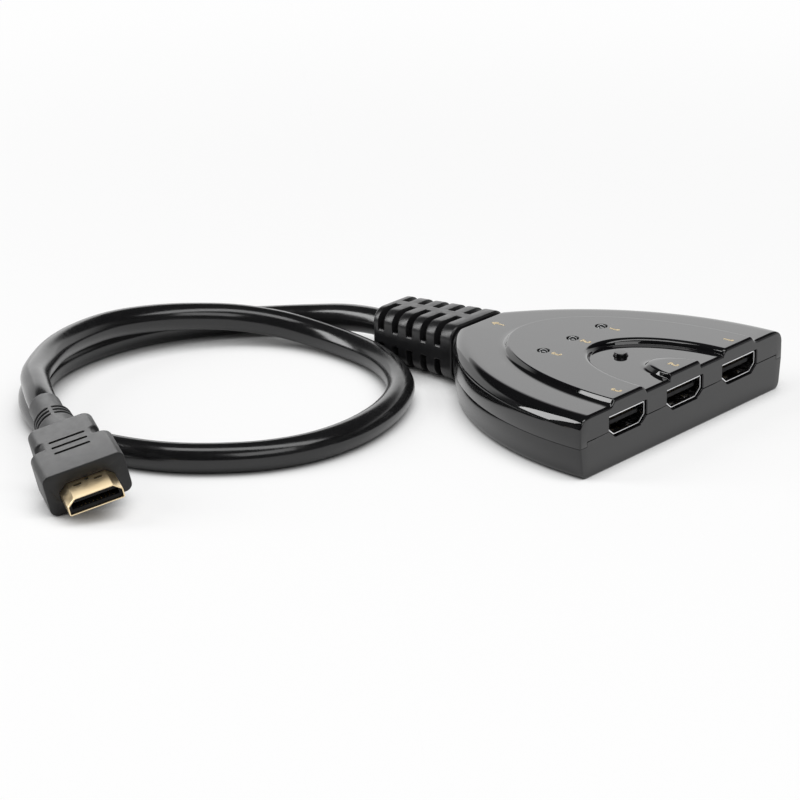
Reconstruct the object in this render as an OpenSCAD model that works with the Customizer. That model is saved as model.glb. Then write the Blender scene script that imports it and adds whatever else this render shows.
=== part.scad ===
// Three-way video switch box with a fixed output cable, sizes in millimetres.
// X runs along the row of ports, Y from the port face to the cable, Z up from the underside.

/* [Case] */
// Widest size of the case from side to side
case_w = 86.8; // [84:0.2:92]
// Depth from the port face to the cable face
case_d = 67; // [65:0.5:72]
// Width of the flat cable face
rear_w = 22.8; // [22:0.2:27]
// Distance from the port face to the widest place
widest_y = 2; // [1:0.5:5]
// Height of the base level of the top
case_h = 16.1; // [16:0.1:19]
// Rise of the arch above the base level
raise_h = 1.4; // [1:0.1:2]
// Roundness of the top edge along the sides
top_edge_r = 3.4; // [2.4:0.1:4.2]
// Roundness of the lower edge along the sides
bottom_edge_r = 2.2; // [1.2:0.1:3]
// Roundness of the top edge over the ports
front_edge_r = 0.9; // [0.5:0.1:1.2]
// Draft of the lower shell in degrees
draft = 7; // [3:1:9]
// Wall thickness
wall = 2.2; // [2:0.1:2.5]
// Floor thickness
floor_t = 1.8; // [1.4:0.1:2.2]
// Roof thickness under the base level
roof_t = 2; // [1.6:0.1:2.2]

/* [Seam] */
// Height of the seam along the sides and the cable face
side_seam = 8.3; // [7.8:0.1:8.6]
// Height of the seam across the port face
front_seam = 9.5; // [9.3:0.1:10]
// Distance of the seam's step from the widest side
seam_inset = 2.8; // [2.4:0.1:3.4]
// Open line between the two shells
seam_gap = 0.15; // [0.1:0.05:0.25]
// Height of the locating lip
lip_h = 1.2; // [0.8:0.1:1.6]
// Thickness of the locating lip
lip_t = 1; // [0.8:0.1:1.2]
// Side clearance of the locating lip
lip_clear = 0.15; // [0.1:0.05:0.25]

/* [Raised arch] */
// Width of the arch at the port face
arch_w = 60.4; // [56:0.2:64]
// Reach of the arch from the port face
arch_d = 53; // [48:0.5:56]
// Width of the sunken middle at the port face
sunk_w = 34; // [32:0.5:38]
// Reach of the sunken middle from the port face
sunk_d = 28; // [27:0.2:31]
// Width of the tab over the middle port
tab_w = 12.8; // [10:0.2:14]
// Reach of the tab over the middle port
tab_d = 11; // [10:0.5:14]
// Run of the sloped step around the arch, the sunken middle and the tab
step_run = 1.2; // [0.6:0.1:1.6]

/* [Ports] */
// Distance of the outer ports' middles from the widest side
port_side_x = 19.4; // [18.9:0.1:20.4]
// Outer width of a port shell
port_w = 15; // [14.8:0.1:15.4]
// Outer height of a port shell
port_h = 5.3; // [5.2:0.1:5.6]
// Straight part of a port shell's side
port_side = 3.45; // [3.2:0.05:3.6]
// Width of a port shell's narrow wall
port_base = 10.4; // [10:0.1:10.8]
// Height of the upper wall of the port shells
port_top = 13.3; // [13:0.1:13.5]
// Sheet thickness of a port shell
port_shell_t = 0.4; // [0.3:0.05:0.5]
// Depth of a port shell
port_depth = 11; // [10:0.5:12]
// Open line around a port shell
port_gap = 0.35; // [0.25:0.05:0.4]
// Set-back of a port shell from the port face
port_recess = 0.6; // [0.3:0.1:0.8]
// Thickness of the tongue in a port
tongue_t = 1; // [0.8:0.1:1.2]
// Width of the tongue in a port
tongue_w = 11.4; // [11:0.1:12]
// Space over the tongue in a port
tongue_gap = 1.3; // [1.1:0.1:1.5]
// Set-back of the tongue from the shell's rim
tongue_recess = 1; // [0.6:0.1:1.6]

/* [Board and screws] */
// Thickness of the circuit board
board_t = 1.6; // [1.4:0.1:1.8]
// Space between the port shells and the board
board_stand = 0.3; // [0.2:0.05:0.4]
// Space between the board's edge and the wall
board_edge = 0.5; // [0.3:0.1:0.8]
// Distance of the front screws from the widest side
screw_front_side = 7.2; // [7:0.1:7.4]
// Distance of the front screws from the port face
screw_front_y = 9; // [8:0.5:12]
// Distance of the rear screws beyond the cable face's corners
screw_rear_out = 4.1; // [3:0.1:5]
// Distance of the rear screws from the cable face
screw_rear_y = 14.5; // [13:0.5:17]
// Screw shank diameter
screw_d = 2.5; // [2.2:0.1:2.6]
// Screw head diameter
screw_head_d = 4.6; // [4.2:0.1:4.8]
// Screw head height
screw_head_h = 1.6; // [1.2:0.1:1.8]

/* [Lamps and button] */
// Distance between the indicator lamps
lamp_pitch = 12.25; // [11:0.25:13]
// Distance of the lamps from the port face
lamp_y = 36; // [34.5:0.5:38]
// Lamp diameter
lamp_d = 3; // [2.8:0.1:3.2]
// Height of the lamp's crown above the arch
lamp_proud = 0.4; // [0.1:0.1:0.8]
// Distance of the button from the port face
button_y = 20.45; // [19:0.05:22]
// Button diameter
button_d = 3.5; // [3.2:0.1:3.7]
// Height of the button above the sunken middle
button_proud = 1; // [0.6:0.1:1.6]
// Open line around the button
button_gap = 0.35; // [0.25:0.05:0.5]
// Travel of the button
press_travel = 0.3; // [0.2:0.05:0.4]

/* [Cable boot] */
// Groove between the case and the boot
boot_gap = 0.8; // [0.5:0.1:1.2]
// Length of the boot outside the groove
boot_len = 29.7; // [29:0.1:31]
// Width of the boot at the case
boot_w = 22.4; // [20:0.2:22.6]
// Height of the boot at the case
boot_h = 15.4; // [14:0.2:15.6]
// Width of the boot at the cable
boot_end_w = 17.2; // [15.6:0.2:17.6]
// Height of the boot at the cable
boot_end_h = 14.6; // [13.6:0.2:14.8]
// Height of the boot's axis at the case
boot_z = 8.5; // [8.3:0.1:8.7]
// Height of the boot's axis at the cable
boot_end_z = 7.6; // [7.5:0.1:8]
// Corner roundness of the boot
boot_r = 3.8; // [3:0.1:4.4]
// Number of slots along the boot
slot_n = 5; // [3:1:5]
// Distance between the slots
slot_pitch = 5.35; // [5.1:0.05:5.5]
// Distance of the first slot from the boot's wide end
slot_first = 5.2; // [4.8:0.1:5.6]
// Width of a slot
slot_w = 2; // [1.4:0.1:2.4]
// Depth of a slot
slot_depth = 1.7; // [1:0.1:2]
// Width of the ridges between the slots
spine_w = 3.2; // [2.4:0.1:3.6]

/* [Cable and plug] */
// Cable diameter
cable_d = 7.5; // [7:0.1:7.5]
// Width of the plug's grip
plug_w = 20.7; // [20:0.1:21.4]
// Height of the plug's grip
plug_h = 11.3; // [10.8:0.1:11.4]
// Corner roundness of the plug's grip
plug_r = 2; // [1.6:0.1:2.6]
// Length of the grip's front block
grip_front = 12.2; // [11:0.2:13]
// Length of the grip's waist
grip_waist = 3.6; // [2.6:0.2:4.4]
// Length of the grip's rear block
grip_rear = 7.4; // [6.6:0.2:8.4]
// Width of the grip's waist
waist_w = 14.4; // [13.6:0.2:15.6]
// Width of the grip's rear block
rear_block_w = 16.6; // [16:0.2:18]
// Length of the plug's ringed neck
neck_len = 10; // [9:0.2:11]
// Diameter of the neck at the grip
neck_d = 10.8; // [10.2:0.1:11]
// Diameter of the neck at the sleeve
neck_end_d = 10; // [9.4:0.1:10.2]
// Length of the sleeve behind the neck
sleeve_len = 8.2; // [7:0.2:9]
// Diameter of the sleeve
sleeve_d = 8.2; // [7.8:0.1:8.6]
// Outer width of the plug shell
plug_shell_w = 13.9; // [13.7:0.1:14]
// Outer height of the plug shell
plug_shell_h = 4.4; // [4.3:0.05:4.5]
// Straight part of the plug shell's side
plug_shell_side = 2.6; // [2.4:0.1:2.8]
// Width of the plug shell's narrow wall
plug_shell_base = 9.8; // [9.4:0.1:10.2]
// Sheet thickness of the plug shell
plug_shell_t = 0.35; // [0.3:0.05:0.45]
// Reach of the plug shell in front of the grip
plug_reach = 7.4; // [7:0.1:9]

/* [Hidden] */
$fn = 64;
fine = 180;
fit = 0.05;
half_d = case_d / 2;
front = -half_d;
bow_x = (case_w - rear_w) / 2;
bow_y = case_d - widest_y;
side_r = (bow_x * bow_x + bow_y * bow_y) / (2 * bow_x);
side_x = side_r - case_w / 2;
side_y = front + widest_y;
arch_top = case_h + raise_h;
roof_z = case_h - roof_t;
rear_edge_r = 1.6;

port_pitch = case_w / 2 - port_side_x;
port_z = port_top - port_h / 2;
port_front = front + port_recess;
port_rear = port_front + port_depth;
board_top = port_top - port_h - board_stand;
board_low = board_top - board_t;
board_front = front + wall + board_edge;
board_rear = half_d - wall - 3.8;
leg_w = 1.2;
leg_y = [2.8, 8.6];
contact_n = [10, 9];
contact_w = 0.36;
contact_t = 0.1;
contact_pitch = 1;

boss_low_d = screw_d + 4.5;
boss_high_d = screw_d + 3.1;
screw_hole_d = screw_d + 0.5;
pilot_d = screw_d + 0.1;
head_bore_d = screw_head_d + 0.8;
head_bore_h = screw_head_h + 0.8;
screw_tip = board_top + 4.2;
screw_front_x = case_w / 2 - screw_front_side;
screw_rear_x = rear_w / 2 + screw_rear_out;
screw_places = [
    [-screw_front_x, front + screw_front_y],
    [screw_front_x, front + screw_front_y],
    [-screw_rear_x, half_d - screw_rear_y],
    [screw_rear_x, half_d - screw_rear_y]
];

lamp_cy = front + lamp_y;
lamp_top = arch_top + lamp_proud;
lamp_hole_d = lamp_d + 0.2;
lamp_flange_d = lamp_d + 0.8;
lamp_flange_t = 1;
lamp_base = roof_z - lamp_flange_t - 0.1;
lead_t = 0.5;
lead_x = 1.27;
lead_below = 1.2;

button_cy = front + button_y;
button_top = case_h + button_proud;
switch_w = 6;
switch_h = 3.3;
plate_t = 0.3;
flange_t = 0.8;
flange_d = button_d + 1.1;
well_d = flange_d + 0.5;
dome_t = 0.35;
switch_top = board_top + switch_h;
flange_top = switch_top - fit;
flange_low = flange_top - flange_t;
dome_top = flange_low - press_travel - fit;
chip_w = 9;
chip_t = 1;
chip_y = half_d - 20.5;

boot_y = half_d + boot_gap;
boot_end = boot_y + boot_len;
boot_neck_w = 15;
boot_neck_h = 9.6;
boot_neck_r = 2;
boot_fit = 0.15;
flange_w = 17;
flange_h = 10.8;
flange_depth = 2;
wire_n = 7;
wire_d = 1;
wire_pitch = 1.9;
wire_reach = 7;

plug_yaw = -29;
plug_pitch = 7.5;
plug_roll = -13.5;
plug_pos = [-132.8, boot_end - 18.6, 7.5];
grip_len = grip_front + grip_waist + grip_rear;
plug_len = grip_len + neck_len + sleeve_len;
shell_seat = 7;
line_n = 3;
line_pitch = 2.6;
line_first = 10.35;
line_len = 9.2;
line_w = 0.7;
line_depth = 0.35;
ring_n = 3;
ring_pitch = 1.65;
ring_w = 0.75;
ring_depth = 0.6;
ring_spine = 1.6;

// Cable path from the boot to the sleeve, measured from the middle of the boot's narrow end
cable_bends = [
    [0, 8, 7.5], [-1, 17, 6.8], [-4, 27, 5.4], [-9.5, 37, 4.3], [-18, 46.5, 3.9],
    [-28.5, 53.5, 3.8], [-39.5, 58, 3.8], [-51.5, 60, 3.8], [-63.5, 59.5, 3.8], [-75, 56.5, 3.8],
    [-85.5, 50.5, 3.8], [-94.5, 42.5, 3.8], [-101.5, 32.5, 3.8], [-106, 21, 3.8], [-107.5, 9, 3.8],
    [-105.5, -3, 3.8], [-101, -14.5, 3.8], [-94, -24, 3.8], [-85, -32, 3.8], [-74, -37, 3.8],
    [-62, -38.5, 3.8], [-50, -37, 3.8], [-38.5, -33, 3.8], [-28, -26.5, 3.8], [-20.1, -17.5, 3.8],
    [-14.6, -7, 3.8], [-11.9, 5, 3.9], [-11.7, 17, 4.5], [-14.8, 28.5, 6], [-21.3, 38.5, 7.5],
    [-31, 46.5, 8.8], [-42.5, 52, 10], [-54.5, 54.5, 10.9], [-67, 53.5, 11.4], [-78.5, 50, 11.7],
    [-89, 44, 12], [-98.5, 36.5, 12.7], [-105.5, 28, 13.2]
];
plug_forward = [sin(plug_yaw) * cos(plug_pitch), -cos(plug_yaw) * cos(plug_pitch), -sin(plug_pitch)];
route = concat(
    [[0, boot_end, boot_end_z]],
    [for (p = cable_bends) [p[0], p[1] + boot_end, p[2]]],
    [plug_pos - plug_forward * plug_len]
);
route_last = len(route) - 1;
cable_sides = 12;
cable_steps = 2;

// Outline of a socket or plug shell, wide wall up, grown by g on every side
function shell_normal(w, h, side, base) =
    let (a = w / 2 - base / 2, b = h - side) [b, a] / norm([a, b]);
function shell_outline(w, h, side, base, g) =
    let (
        n = shell_normal(w, h, side, base),
        c = n[0] * w / 2 + n[1] * (side - h / 2) + g,
        x = w / 2 + g,
        y = h / 2 + g,
        y_side = (n[0] * x - c) / n[1],
        x_base = (c - n[1] * y) / n[0]
    )
    [[-x, y], [-x, y_side], [-x_base, -y], [x_base, -y], [x, y_side], [x, y]];

// Half ellipse standing on the port face, with a short straight run in front of it
function half_ellipse(w, d, n) =
    concat(
        [[w / 2, -1]],
        [for (i = [0 : n]) [w / 2 * cos(180 * i / n), d * sin(180 * i / n)]],
        [[-w / 2, -1]]
    );

// Rounded rectangle as a ring of points in the plane across Y
function round_ring(w, h, r, y, z, n) =
    [for (c = [0 : 3]) for (i = [0 : n])
        let (a = 90 * c + 90 * i / n, sx = c == 0 || c == 3 ? 1 : -1, sz = c < 2 ? 1 : -1)
        [sx * (w / 2 - r) + r * cos(a), y, z + sz * (h / 2 - r) + r * sin(a)]];

// Rectangle as a ring of points in the plane across Y
function flat_ring(w, h, y, z) =
    [[w / 2, y, z + h / 2], [-w / 2, y, z + h / 2], [-w / 2, y, z - h / 2], [w / 2, y, z - h / 2]];

// Smooth path through the route's points
function span(i) = norm(route[i + 1] - route[i]);
function tangent(i) =
    i == 0 ? [0, 1, 0] :
    i == route_last ? plug_forward :
    let (a = span(i - 1), b = span(i))
    ((route[i] - route[i - 1]) * b / a + (route[i + 1] - route[i]) * a / b) / (a + b);
function path_point(i, s) =
    (2 * s * s * s - 3 * s * s + 1) * route[i]
    + (s * s * s - 2 * s * s + s) * span(i) * tangent(i)
    + (3 * s * s - 2 * s * s * s) * route[i + 1]
    + (s * s * s - s * s) * span(i) * tangent(i + 1);
function path_slope(i, s) =
    (6 * s * s - 6 * s) * route[i]
    + (3 * s * s - 4 * s + 1) * span(i) * tangent(i)
    + (6 * s - 6 * s * s) * route[i + 1]
    + (3 * s * s - 2 * s) * span(i) * tangent(i + 1);
function cable_ring(p, d) =
    let (f = d / norm(d), s = cross(f, [0, 0, 1]) / norm(cross(f, [0, 0, 1])), u = cross(s, f))
    [for (k = [0 : cable_sides - 1])
        let (a = 360 * k / cable_sides + 180 / cable_sides)
        p + cable_d / 2 * (cos(a) * s + sin(a) * u)];

// Solid skinned over a row of rings with equal counts
module loft(rings) {
    n = len(rings[0]);
    m = len(rings);
    points = [for (r = rings) for (p = r) p];
    sides = [for (j = [0 : m - 2]) for (i = [0 : n - 1]) for (t = [0, 1])
        let (a = j * n + i, b = j * n + (i + 1) % n)
        t == 0 ? [a, b, b + n] : [a, b + n, a + n]];
    start = [for (i = [1 : n - 2]) [0, i + 1, i]];
    finish = [for (i = [1 : n - 2]) [(m - 1) * n, (m - 1) * n + i, (m - 1) * n + i + 1]];
    polyhedron(points = points, faces = concat(sides, start, finish), convexity = 6);
}

// Rounded rectangle standing across Y and drawn out towards the front
module round_bar(w, h, r, length) {
    rotate([90, 0, 0])
        linear_extrude(length) {
            square([w - 2 * r, h], center = true);
            square([w, h - 2 * r], center = true);
            for (x = [-1, 1])
                for (y = [-1, 1])
                    translate([x * (w / 2 - r), y * (h / 2 - r)])
                        circle(r);
        }
}

// Plan of the case drawn in by an inset
module plan(inset) {
    intersection() {
        translate([-side_x, side_y])
            circle(side_r - inset, $fn = fine);
        translate([side_x, side_y])
            circle(side_r - inset, $fn = fine);
        translate([-case_w / 2, front + inset])
            square([case_w, case_d - 2 * inset]);
    }
}

// Disc whose rim is one side of the case, with the lower shell's draft
module side_disc() {
    foot_x = side_r - (bottom_edge_r + (side_seam - bottom_edge_r) * sin(draft)) / cos(draft);
    rotate_extrude($fn = fine) {
        polygon([
            [0, 0],
            [foot_x, 0],
            [foot_x + bottom_edge_r * cos(draft), bottom_edge_r - bottom_edge_r * sin(draft)],
            [side_r, side_seam],
            [side_r, case_h - top_edge_r],
            [side_r - top_edge_r, case_h],
            [0, case_h]
        ]);
        translate([foot_x, bottom_edge_r])
            circle(bottom_edge_r);
        translate([side_r - top_edge_r, case_h - top_edge_r])
            circle(top_edge_r);
    }
}

// Bar from the port face to the cable face with rounded long edges
module depth_bar(top) {
    r = front_edge_r;
    q = rear_edge_r;
    rotate([90, 0, 90])
        translate([0, 0, -case_w])
            linear_extrude(2 * case_w) {
                polygon([
                    [front, 0],
                    [half_d - q, 0],
                    [half_d, q],
                    [half_d, top - q],
                    [half_d - q, top],
                    [front + r, top],
                    [front, top - r]
                ]);
                translate([front + r, top - r])
                    circle(r);
                translate([half_d - q, q])
                    circle(q);
                translate([half_d - q, top - q])
                    circle(q);
            }
}

// Whole outer form up to the base level
module outer_form() {
    intersection() {
        translate([-side_x, side_y, 0])
            side_disc();
        translate([side_x, side_y, 0])
            side_disc();
        depth_bar(case_h);
    }
}

// Half-elliptic mound with sloped sides, whose size is met halfway up the step; a lean of -1 widens it upwards
module mound(w, d, low, high, lean, n) {
    slope = lean * step_run / raise_h;
    low_run = slope * (case_h + raise_h / 2 - low);
    high_run = slope * (case_h + raise_h / 2 - high);
    grow_w = (w + 2 * high_run) / (w + 2 * low_run);
    grow_d = (d + high_run) / (d + low_run);
    translate([0, front, low])
        linear_extrude(high - low, scale = [grow_w, grow_d], slices = 1)
            polygon(half_ellipse(w + 2 * low_run, d + low_run, n));
}

// Arch with its sunken middle and the tab over the middle port
module raised_arch() {
    low = case_h - front_edge_r - 0.1;
    intersection() {
        difference() {
            mound(arch_w, arch_d, low, arch_top, 1, 60);
            difference() {
                mound(sunk_w, sunk_d, case_h, arch_top + 1, -1, 48);
                mound(tab_w, tab_d, case_h - 0.5, arch_top + 0.5, 1, 32);
            }
        }
        depth_bar(arch_top);
    }
}

// Openings of the three ports through the port wall
module port_openings() {
    for (i = [-1 : 1])
        translate([i * port_pitch, front + wall + 1, port_z])
            rotate([90, 0, 0])
                linear_extrude(wall + 2)
                    polygon(shell_outline(port_w, port_h, port_side, port_base, port_gap));
}

// Passage of the boot through the cable wall
module boot_passage() {
    translate([0, half_d + 1, boot_z])
        round_bar(boot_neck_w + 2 * boot_fit, boot_neck_h + 2 * boot_fit, boot_neck_r + boot_fit, wall + 2);
}

// Ring along the inner half of the wall where the two shells meet
module lip_ring(outer_inset, low, high) {
    translate([0, 0, low])
        linear_extrude(high - low)
            difference() {
                plan(outer_inset);
                plan(wall);
            }
}

module cavity(low, high) {
    translate([0, 0, low])
        linear_extrude(high - low)
            plan(wall);
}

// Block that reaches over the width of the raised front of the lower shell
module seam_block(grow) {
    w = case_w - 2 * seam_inset + 2 * grow;
    translate([-w / 2, front - 1, 0])
        cube([w, wall + 1 + grow, front_seam + grow]);
}

module top_cover() {
    color("#1c1c1e")
        difference() {
            union() {
                difference() {
                    union() {
                        intersection() {
                            outer_form();
                            translate([-case_w, -case_d, side_seam + seam_gap])
                                cube([2 * case_w, 2 * case_d, case_h]);
                        }
                        raised_arch();
                    }
                    cavity(0, roof_z);
                    lip_ring(wall - lip_t - lip_clear, 0, side_seam + lip_h + lip_clear);
                    seam_block(seam_gap);
                    boot_passage();
                }
                for (p = screw_places)
                    translate([p[0], p[1], board_top])
                        cylinder(d = boss_high_d, h = roof_z - board_top + roof_t / 2);
            }
            port_openings();
            for (p = screw_places)
                translate([p[0], p[1], board_top - 1])
                    cylinder(d = pilot_d, h = screw_tip - board_top + 1.6);
            for (i = [-1 : 1])
                translate([i * lamp_pitch, lamp_cy, roof_z - 1])
                    cylinder(d = lamp_hole_d, h = roof_t + raise_h + 2);
            translate([0, button_cy, roof_z - 1])
                cylinder(d = button_d + 2 * button_gap, h = roof_t + raise_h + 2);
        }
}

module bottom_case() {
    color("#1a1a1b")
        difference() {
            union() {
                difference() {
                    intersection() {
                        outer_form();
                        union() {
                            translate([-case_w, -case_d, 0])
                                cube([2 * case_w, 2 * case_d, side_seam]);
                            seam_block(0);
                        }
                    }
                    cavity(floor_t, case_h);
                }
                lip_ring(wall - lip_t, side_seam - 1, side_seam + lip_h);
                for (p = screw_places)
                    translate([p[0], p[1], floor_t / 2])
                        cylinder(d = boss_low_d, h = board_low - floor_t / 2);
            }
            port_openings();
            boot_passage();
            for (p = screw_places)
                translate([p[0], p[1], -1]) {
                    cylinder(d = head_bore_d, h = head_bore_h + 1);
                    cylinder(d = screw_hole_d, h = board_top);
                }
        }
}

module case_screws() {
    color("#b9bcc0")
        for (p = screw_places)
            translate([p[0], p[1], head_bore_h - screw_head_h])
                difference() {
                    union() {
                        cylinder(d = screw_head_d, h = screw_head_h);
                        cylinder(d = screw_d, h = screw_tip - head_bore_h + screw_head_h);
                    }
                    for (a = [0, 90])
                        rotate([0, 0, a])
                            cube([screw_head_d * 0.6, 0.6, screw_head_h], center = true);
                }
}

module circuit_board() {
    color("#1f5a36")
        difference() {
            translate([0, 0, board_low])
                linear_extrude(board_t)
                    intersection() {
                        plan(wall + board_edge);
                        translate([-case_w, board_front])
                            square([2 * case_w, board_rear - board_front]);
                    }
            for (p = screw_places)
                translate([p[0], p[1], board_low - 1])
                    cylinder(d = screw_hole_d, h = board_t + 2);
            for (i = [-1 : 1])
                for (s = [-1, 1]) {
                    for (y = leg_y)
                        translate([i * port_pitch + s * (port_w - port_shell_t) / 2, port_front + y, board_top])
                            cube([port_shell_t + 0.4, leg_w + 0.4, 3 * board_t], center = true);
                    translate([i * lamp_pitch + s * lead_x, lamp_cy, board_top])
                        cube([lead_t + 0.3, lead_t + 0.3, 3 * board_t], center = true);
                }
        }
}

module switch_chip() {
    color("#2b2c2f")
        translate([0, chip_y, board_top]) {
            difference() {
                translate([-chip_w / 2, -chip_w / 2, 0])
                    cube([chip_w, chip_w, chip_t]);
                translate([-chip_w / 2 + 1.2, -chip_w / 2 + 1.2, chip_t - 0.1])
                    cylinder(d = 1, h = 1);
            }
        }
}

// Sheet-metal socket shell with four legs through the board
module port_shell(i) {
    color("#c9ccd0")
        translate([i * port_pitch, 0, 0]) {
            translate([0, port_rear, port_z])
                rotate([90, 0, 0])
                    linear_extrude(port_depth)
                        difference() {
                            polygon(shell_outline(port_w, port_h, port_side, port_base, 0));
                            polygon(shell_outline(port_w, port_h, port_side, port_base, -port_shell_t));
                        }
            for (s = [-1, 1])
                for (y = leg_y)
                    translate([
                        s * (port_w - port_shell_t) / 2 - port_shell_t / 2,
                        port_front + y - leg_w / 2,
                        board_low - 0.8
                    ])
                        cube([port_shell_t, leg_w, port_z - board_low + 0.8]);
        }
}

// Moulded block at the back of a socket with the tongue that carries the contacts
module port_insert(i) {
    inner_top = port_top - port_shell_t;
    block = 3;
    color("#111214")
        translate([i * port_pitch, port_rear, 0])
            union() {
                translate([0, 0, port_z])
                    rotate([90, 0, 0])
                        linear_extrude(block)
                            polygon(shell_outline(port_w, port_h, port_side, port_base, -port_shell_t - fit));
                translate([-tongue_w / 2, -port_depth + tongue_recess, inner_top - tongue_gap - tongue_t])
                    cube([tongue_w, port_depth - tongue_recess - block / 2, tongue_t]);
            }
}

// Two rows of spring strips on the faces of the tongue
module port_contacts(i) {
    tongue_top = port_top - port_shell_t - tongue_gap;
    reach = port_depth - tongue_recess - 3;
    color("#d8b25a")
        translate([i * port_pitch, port_front + tongue_recess + 0.6, 0])
            for (row = [0, 1])
                for (k = [0 : contact_n[row] - 1])
                    translate([
                        (k - (contact_n[row] - 1) / 2) * contact_pitch - contact_w / 2,
                        0,
                        row == 0 ? tongue_top : tongue_top - tongue_t - contact_t
                    ])
                        cube([contact_w, reach - 0.6, contact_t]);
}

// Domed lamp with a flange under the roof and two leads through the board
module indicator_lamp(i) {
    r = lamp_d / 2;
    color("#d9dcd8")
        translate([i * lamp_pitch, lamp_cy, 0]) {
            rotate_extrude()
                intersection() {
                    union() {
                        translate([0, lamp_base])
                            square([lamp_flange_d / 2, lamp_flange_t]);
                        translate([0, lamp_base])
                            square([r, lamp_top - r - lamp_base]);
                        translate([0, lamp_top - r])
                            circle(r);
                    }
                    translate([0, lamp_base])
                        square([lamp_d, lamp_top]);
                }
            for (s = [-1, 1])
                translate([s * lead_x - lead_t / 2, -lead_t / 2, board_low - lead_below])
                    cube([lead_t, lead_t, lamp_base - board_low + lead_below + 0.4]);
        }
}

module select_button() {
    color("#131314")
        translate([0, button_cy, 0])
            union() {
                translate([0, 0, flange_low])
                    cylinder(d = flange_d, h = flange_t);
                translate([0, 0, flange_low])
                    cylinder(d = button_d, h = button_top - 0.3 - flange_low);
                translate([0, 0, button_top - 0.3])
                    cylinder(d1 = button_d, d2 = button_d - 0.6, h = 0.3);
            }
}

module switch_base() {
    color("#27282b")
        translate([0, button_cy, board_top])
            difference() {
                translate([-switch_w / 2, -switch_w / 2, 0])
                    cube([switch_w, switch_w, switch_h]);
                translate([0, 0, dome_top - dome_t - board_top - fit])
                    cylinder(d = well_d, h = switch_h);
            }
}

module switch_plate() {
    color("#c3c6ca")
        translate([0, button_cy, switch_top])
            difference() {
                translate([-switch_w / 2, -switch_w / 2, 0])
                    cube([switch_w, switch_w, plate_t]);
                translate([0, 0, -1])
                    cylinder(d = button_d + 0.2, h = plate_t + 2);
            }
}

module switch_dome() {
    color("#cfd2d4")
        translate([0, button_cy, dome_top - dome_t])
            cylinder(d1 = well_d - 0.4, d2 = button_d, h = dome_t);
}

module cable_wires() {
    color("#b7b0a2")
        for (k = [0 : wire_n - 1])
            translate([
                (k - (wire_n - 1) / 2) * wire_pitch,
                half_d - wall - flange_depth - boot_fit,
                board_top + wire_d / 2 + fit
            ])
                rotate([90, 0, 0])
                    cylinder(d = wire_d, h = wire_reach);
}

// Cuts that leave a ridge on each of the four sides and a core inside
module boot_slots() {
    core = 2 * slot_depth;
    difference() {
        for (k = [0 : slot_n - 1])
            translate([-boot_w, boot_y + slot_first + k * slot_pitch - slot_w / 2, boot_z - boot_h])
                cube([2 * boot_w, slot_w, 2 * boot_h]);
        loft([
            round_ring(boot_w - core, boot_h - core, boot_r - 1, boot_y, boot_z, 4),
            round_ring(boot_end_w - core, boot_end_h - core, boot_r - 1, boot_end, boot_end_z, 4)
        ]);
        translate([-spine_w / 2, boot_y - 1, boot_z - boot_h])
            cube([spine_w, boot_len + 2, 2 * boot_h]);
        loft([
            flat_ring(2 * boot_w, spine_w, boot_y, boot_z),
            flat_ring(2 * boot_w, spine_w, boot_end, boot_end_z)
        ]);
    }
}

module strain_relief() {
    color("#18181a") {
        difference() {
            loft([
                round_ring(boot_w, boot_h, boot_r, boot_y, boot_z, 7),
                round_ring(boot_end_w, boot_end_h, boot_r, boot_end, boot_end_z, 7)
            ]);
            boot_slots();
        }
        translate([0, boot_y, boot_z])
            round_bar(boot_neck_w, boot_neck_h, boot_neck_r, boot_gap + wall + boot_fit);
        translate([0, half_d - wall - boot_fit, boot_z])
            round_bar(flange_w, flange_h, boot_neck_r, flange_depth);
    }
}

module cable() {
    color("#19191b")
        loft(concat(
            [for (i = [0 : route_last - 1]) for (k = [0 : cable_steps - 1])
                cable_ring(path_point(i, k / cable_steps), path_slope(i, k / cable_steps))],
            [cable_ring(route[route_last], plug_forward)]
        ));
}

// Frame of the plug: its axis points towards the shell, its middle is on the grip's front face
module in_plug() {
    translate(plug_pos)
        rotate([0, 0, plug_yaw])
            rotate([plug_pitch, 0, 0])
                rotate([0, plug_roll, 0])
                    children();
}

// Ringed neck and smooth sleeve turned about the plug's axis
module plug_neck() {
    slope = (neck_d - neck_end_d) / 2 / neck_len;
    rotate([-90, 0, 0])
        difference() {
            rotate_extrude()
                polygon([
                    [0, grip_len - 1],
                    [neck_d / 2, grip_len - 1],
                    [neck_d / 2, grip_len],
                    [neck_end_d / 2, grip_len + neck_len],
                    [sleeve_d / 2, grip_len + neck_len],
                    [sleeve_d / 2, plug_len],
                    [0, plug_len]
                ]);
            difference() {
                rotate_extrude()
                    for (k = [0 : ring_n - 1])
                        translate([neck_end_d / 2 - ring_depth, grip_len + neck_len - 0.9 - k * ring_pitch - ring_w])
                            square([2, ring_w]);
                for (a = [0, 90])
                    rotate([0, 0, a])
                        translate([-ring_spine / 2, -neck_d, grip_len])
                            cube([ring_spine, 2 * neck_d, neck_len]);
            }
        }
}

module plug_body() {
    color("#1b1b1d")
        in_plug()
            difference() {
                union() {
                    translate([0, grip_front, 0])
                        round_bar(plug_w, plug_h, plug_r, grip_front);
                    translate([0, grip_len - 1, 0])
                        round_bar(waist_w, plug_h, plug_r, grip_len - 2);
                    translate([0, grip_len, 0])
                        round_bar(rear_block_w, plug_h, plug_r, grip_rear);
                    plug_neck();
                }
                translate([0, shell_seat + fit, 0])
                    rotate([90, 180, 0])
                        linear_extrude(shell_seat + 1)
                            polygon(shell_outline(
                                plug_shell_w, plug_shell_h, plug_shell_side, plug_shell_base, fit));
                for (k = [0 : line_n - 1])
                    translate([-line_len / 2, line_first + k * line_pitch - line_w / 2, plug_h / 2 - line_depth])
                        cube([line_len, line_w, 1]);
            }
}

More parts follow.
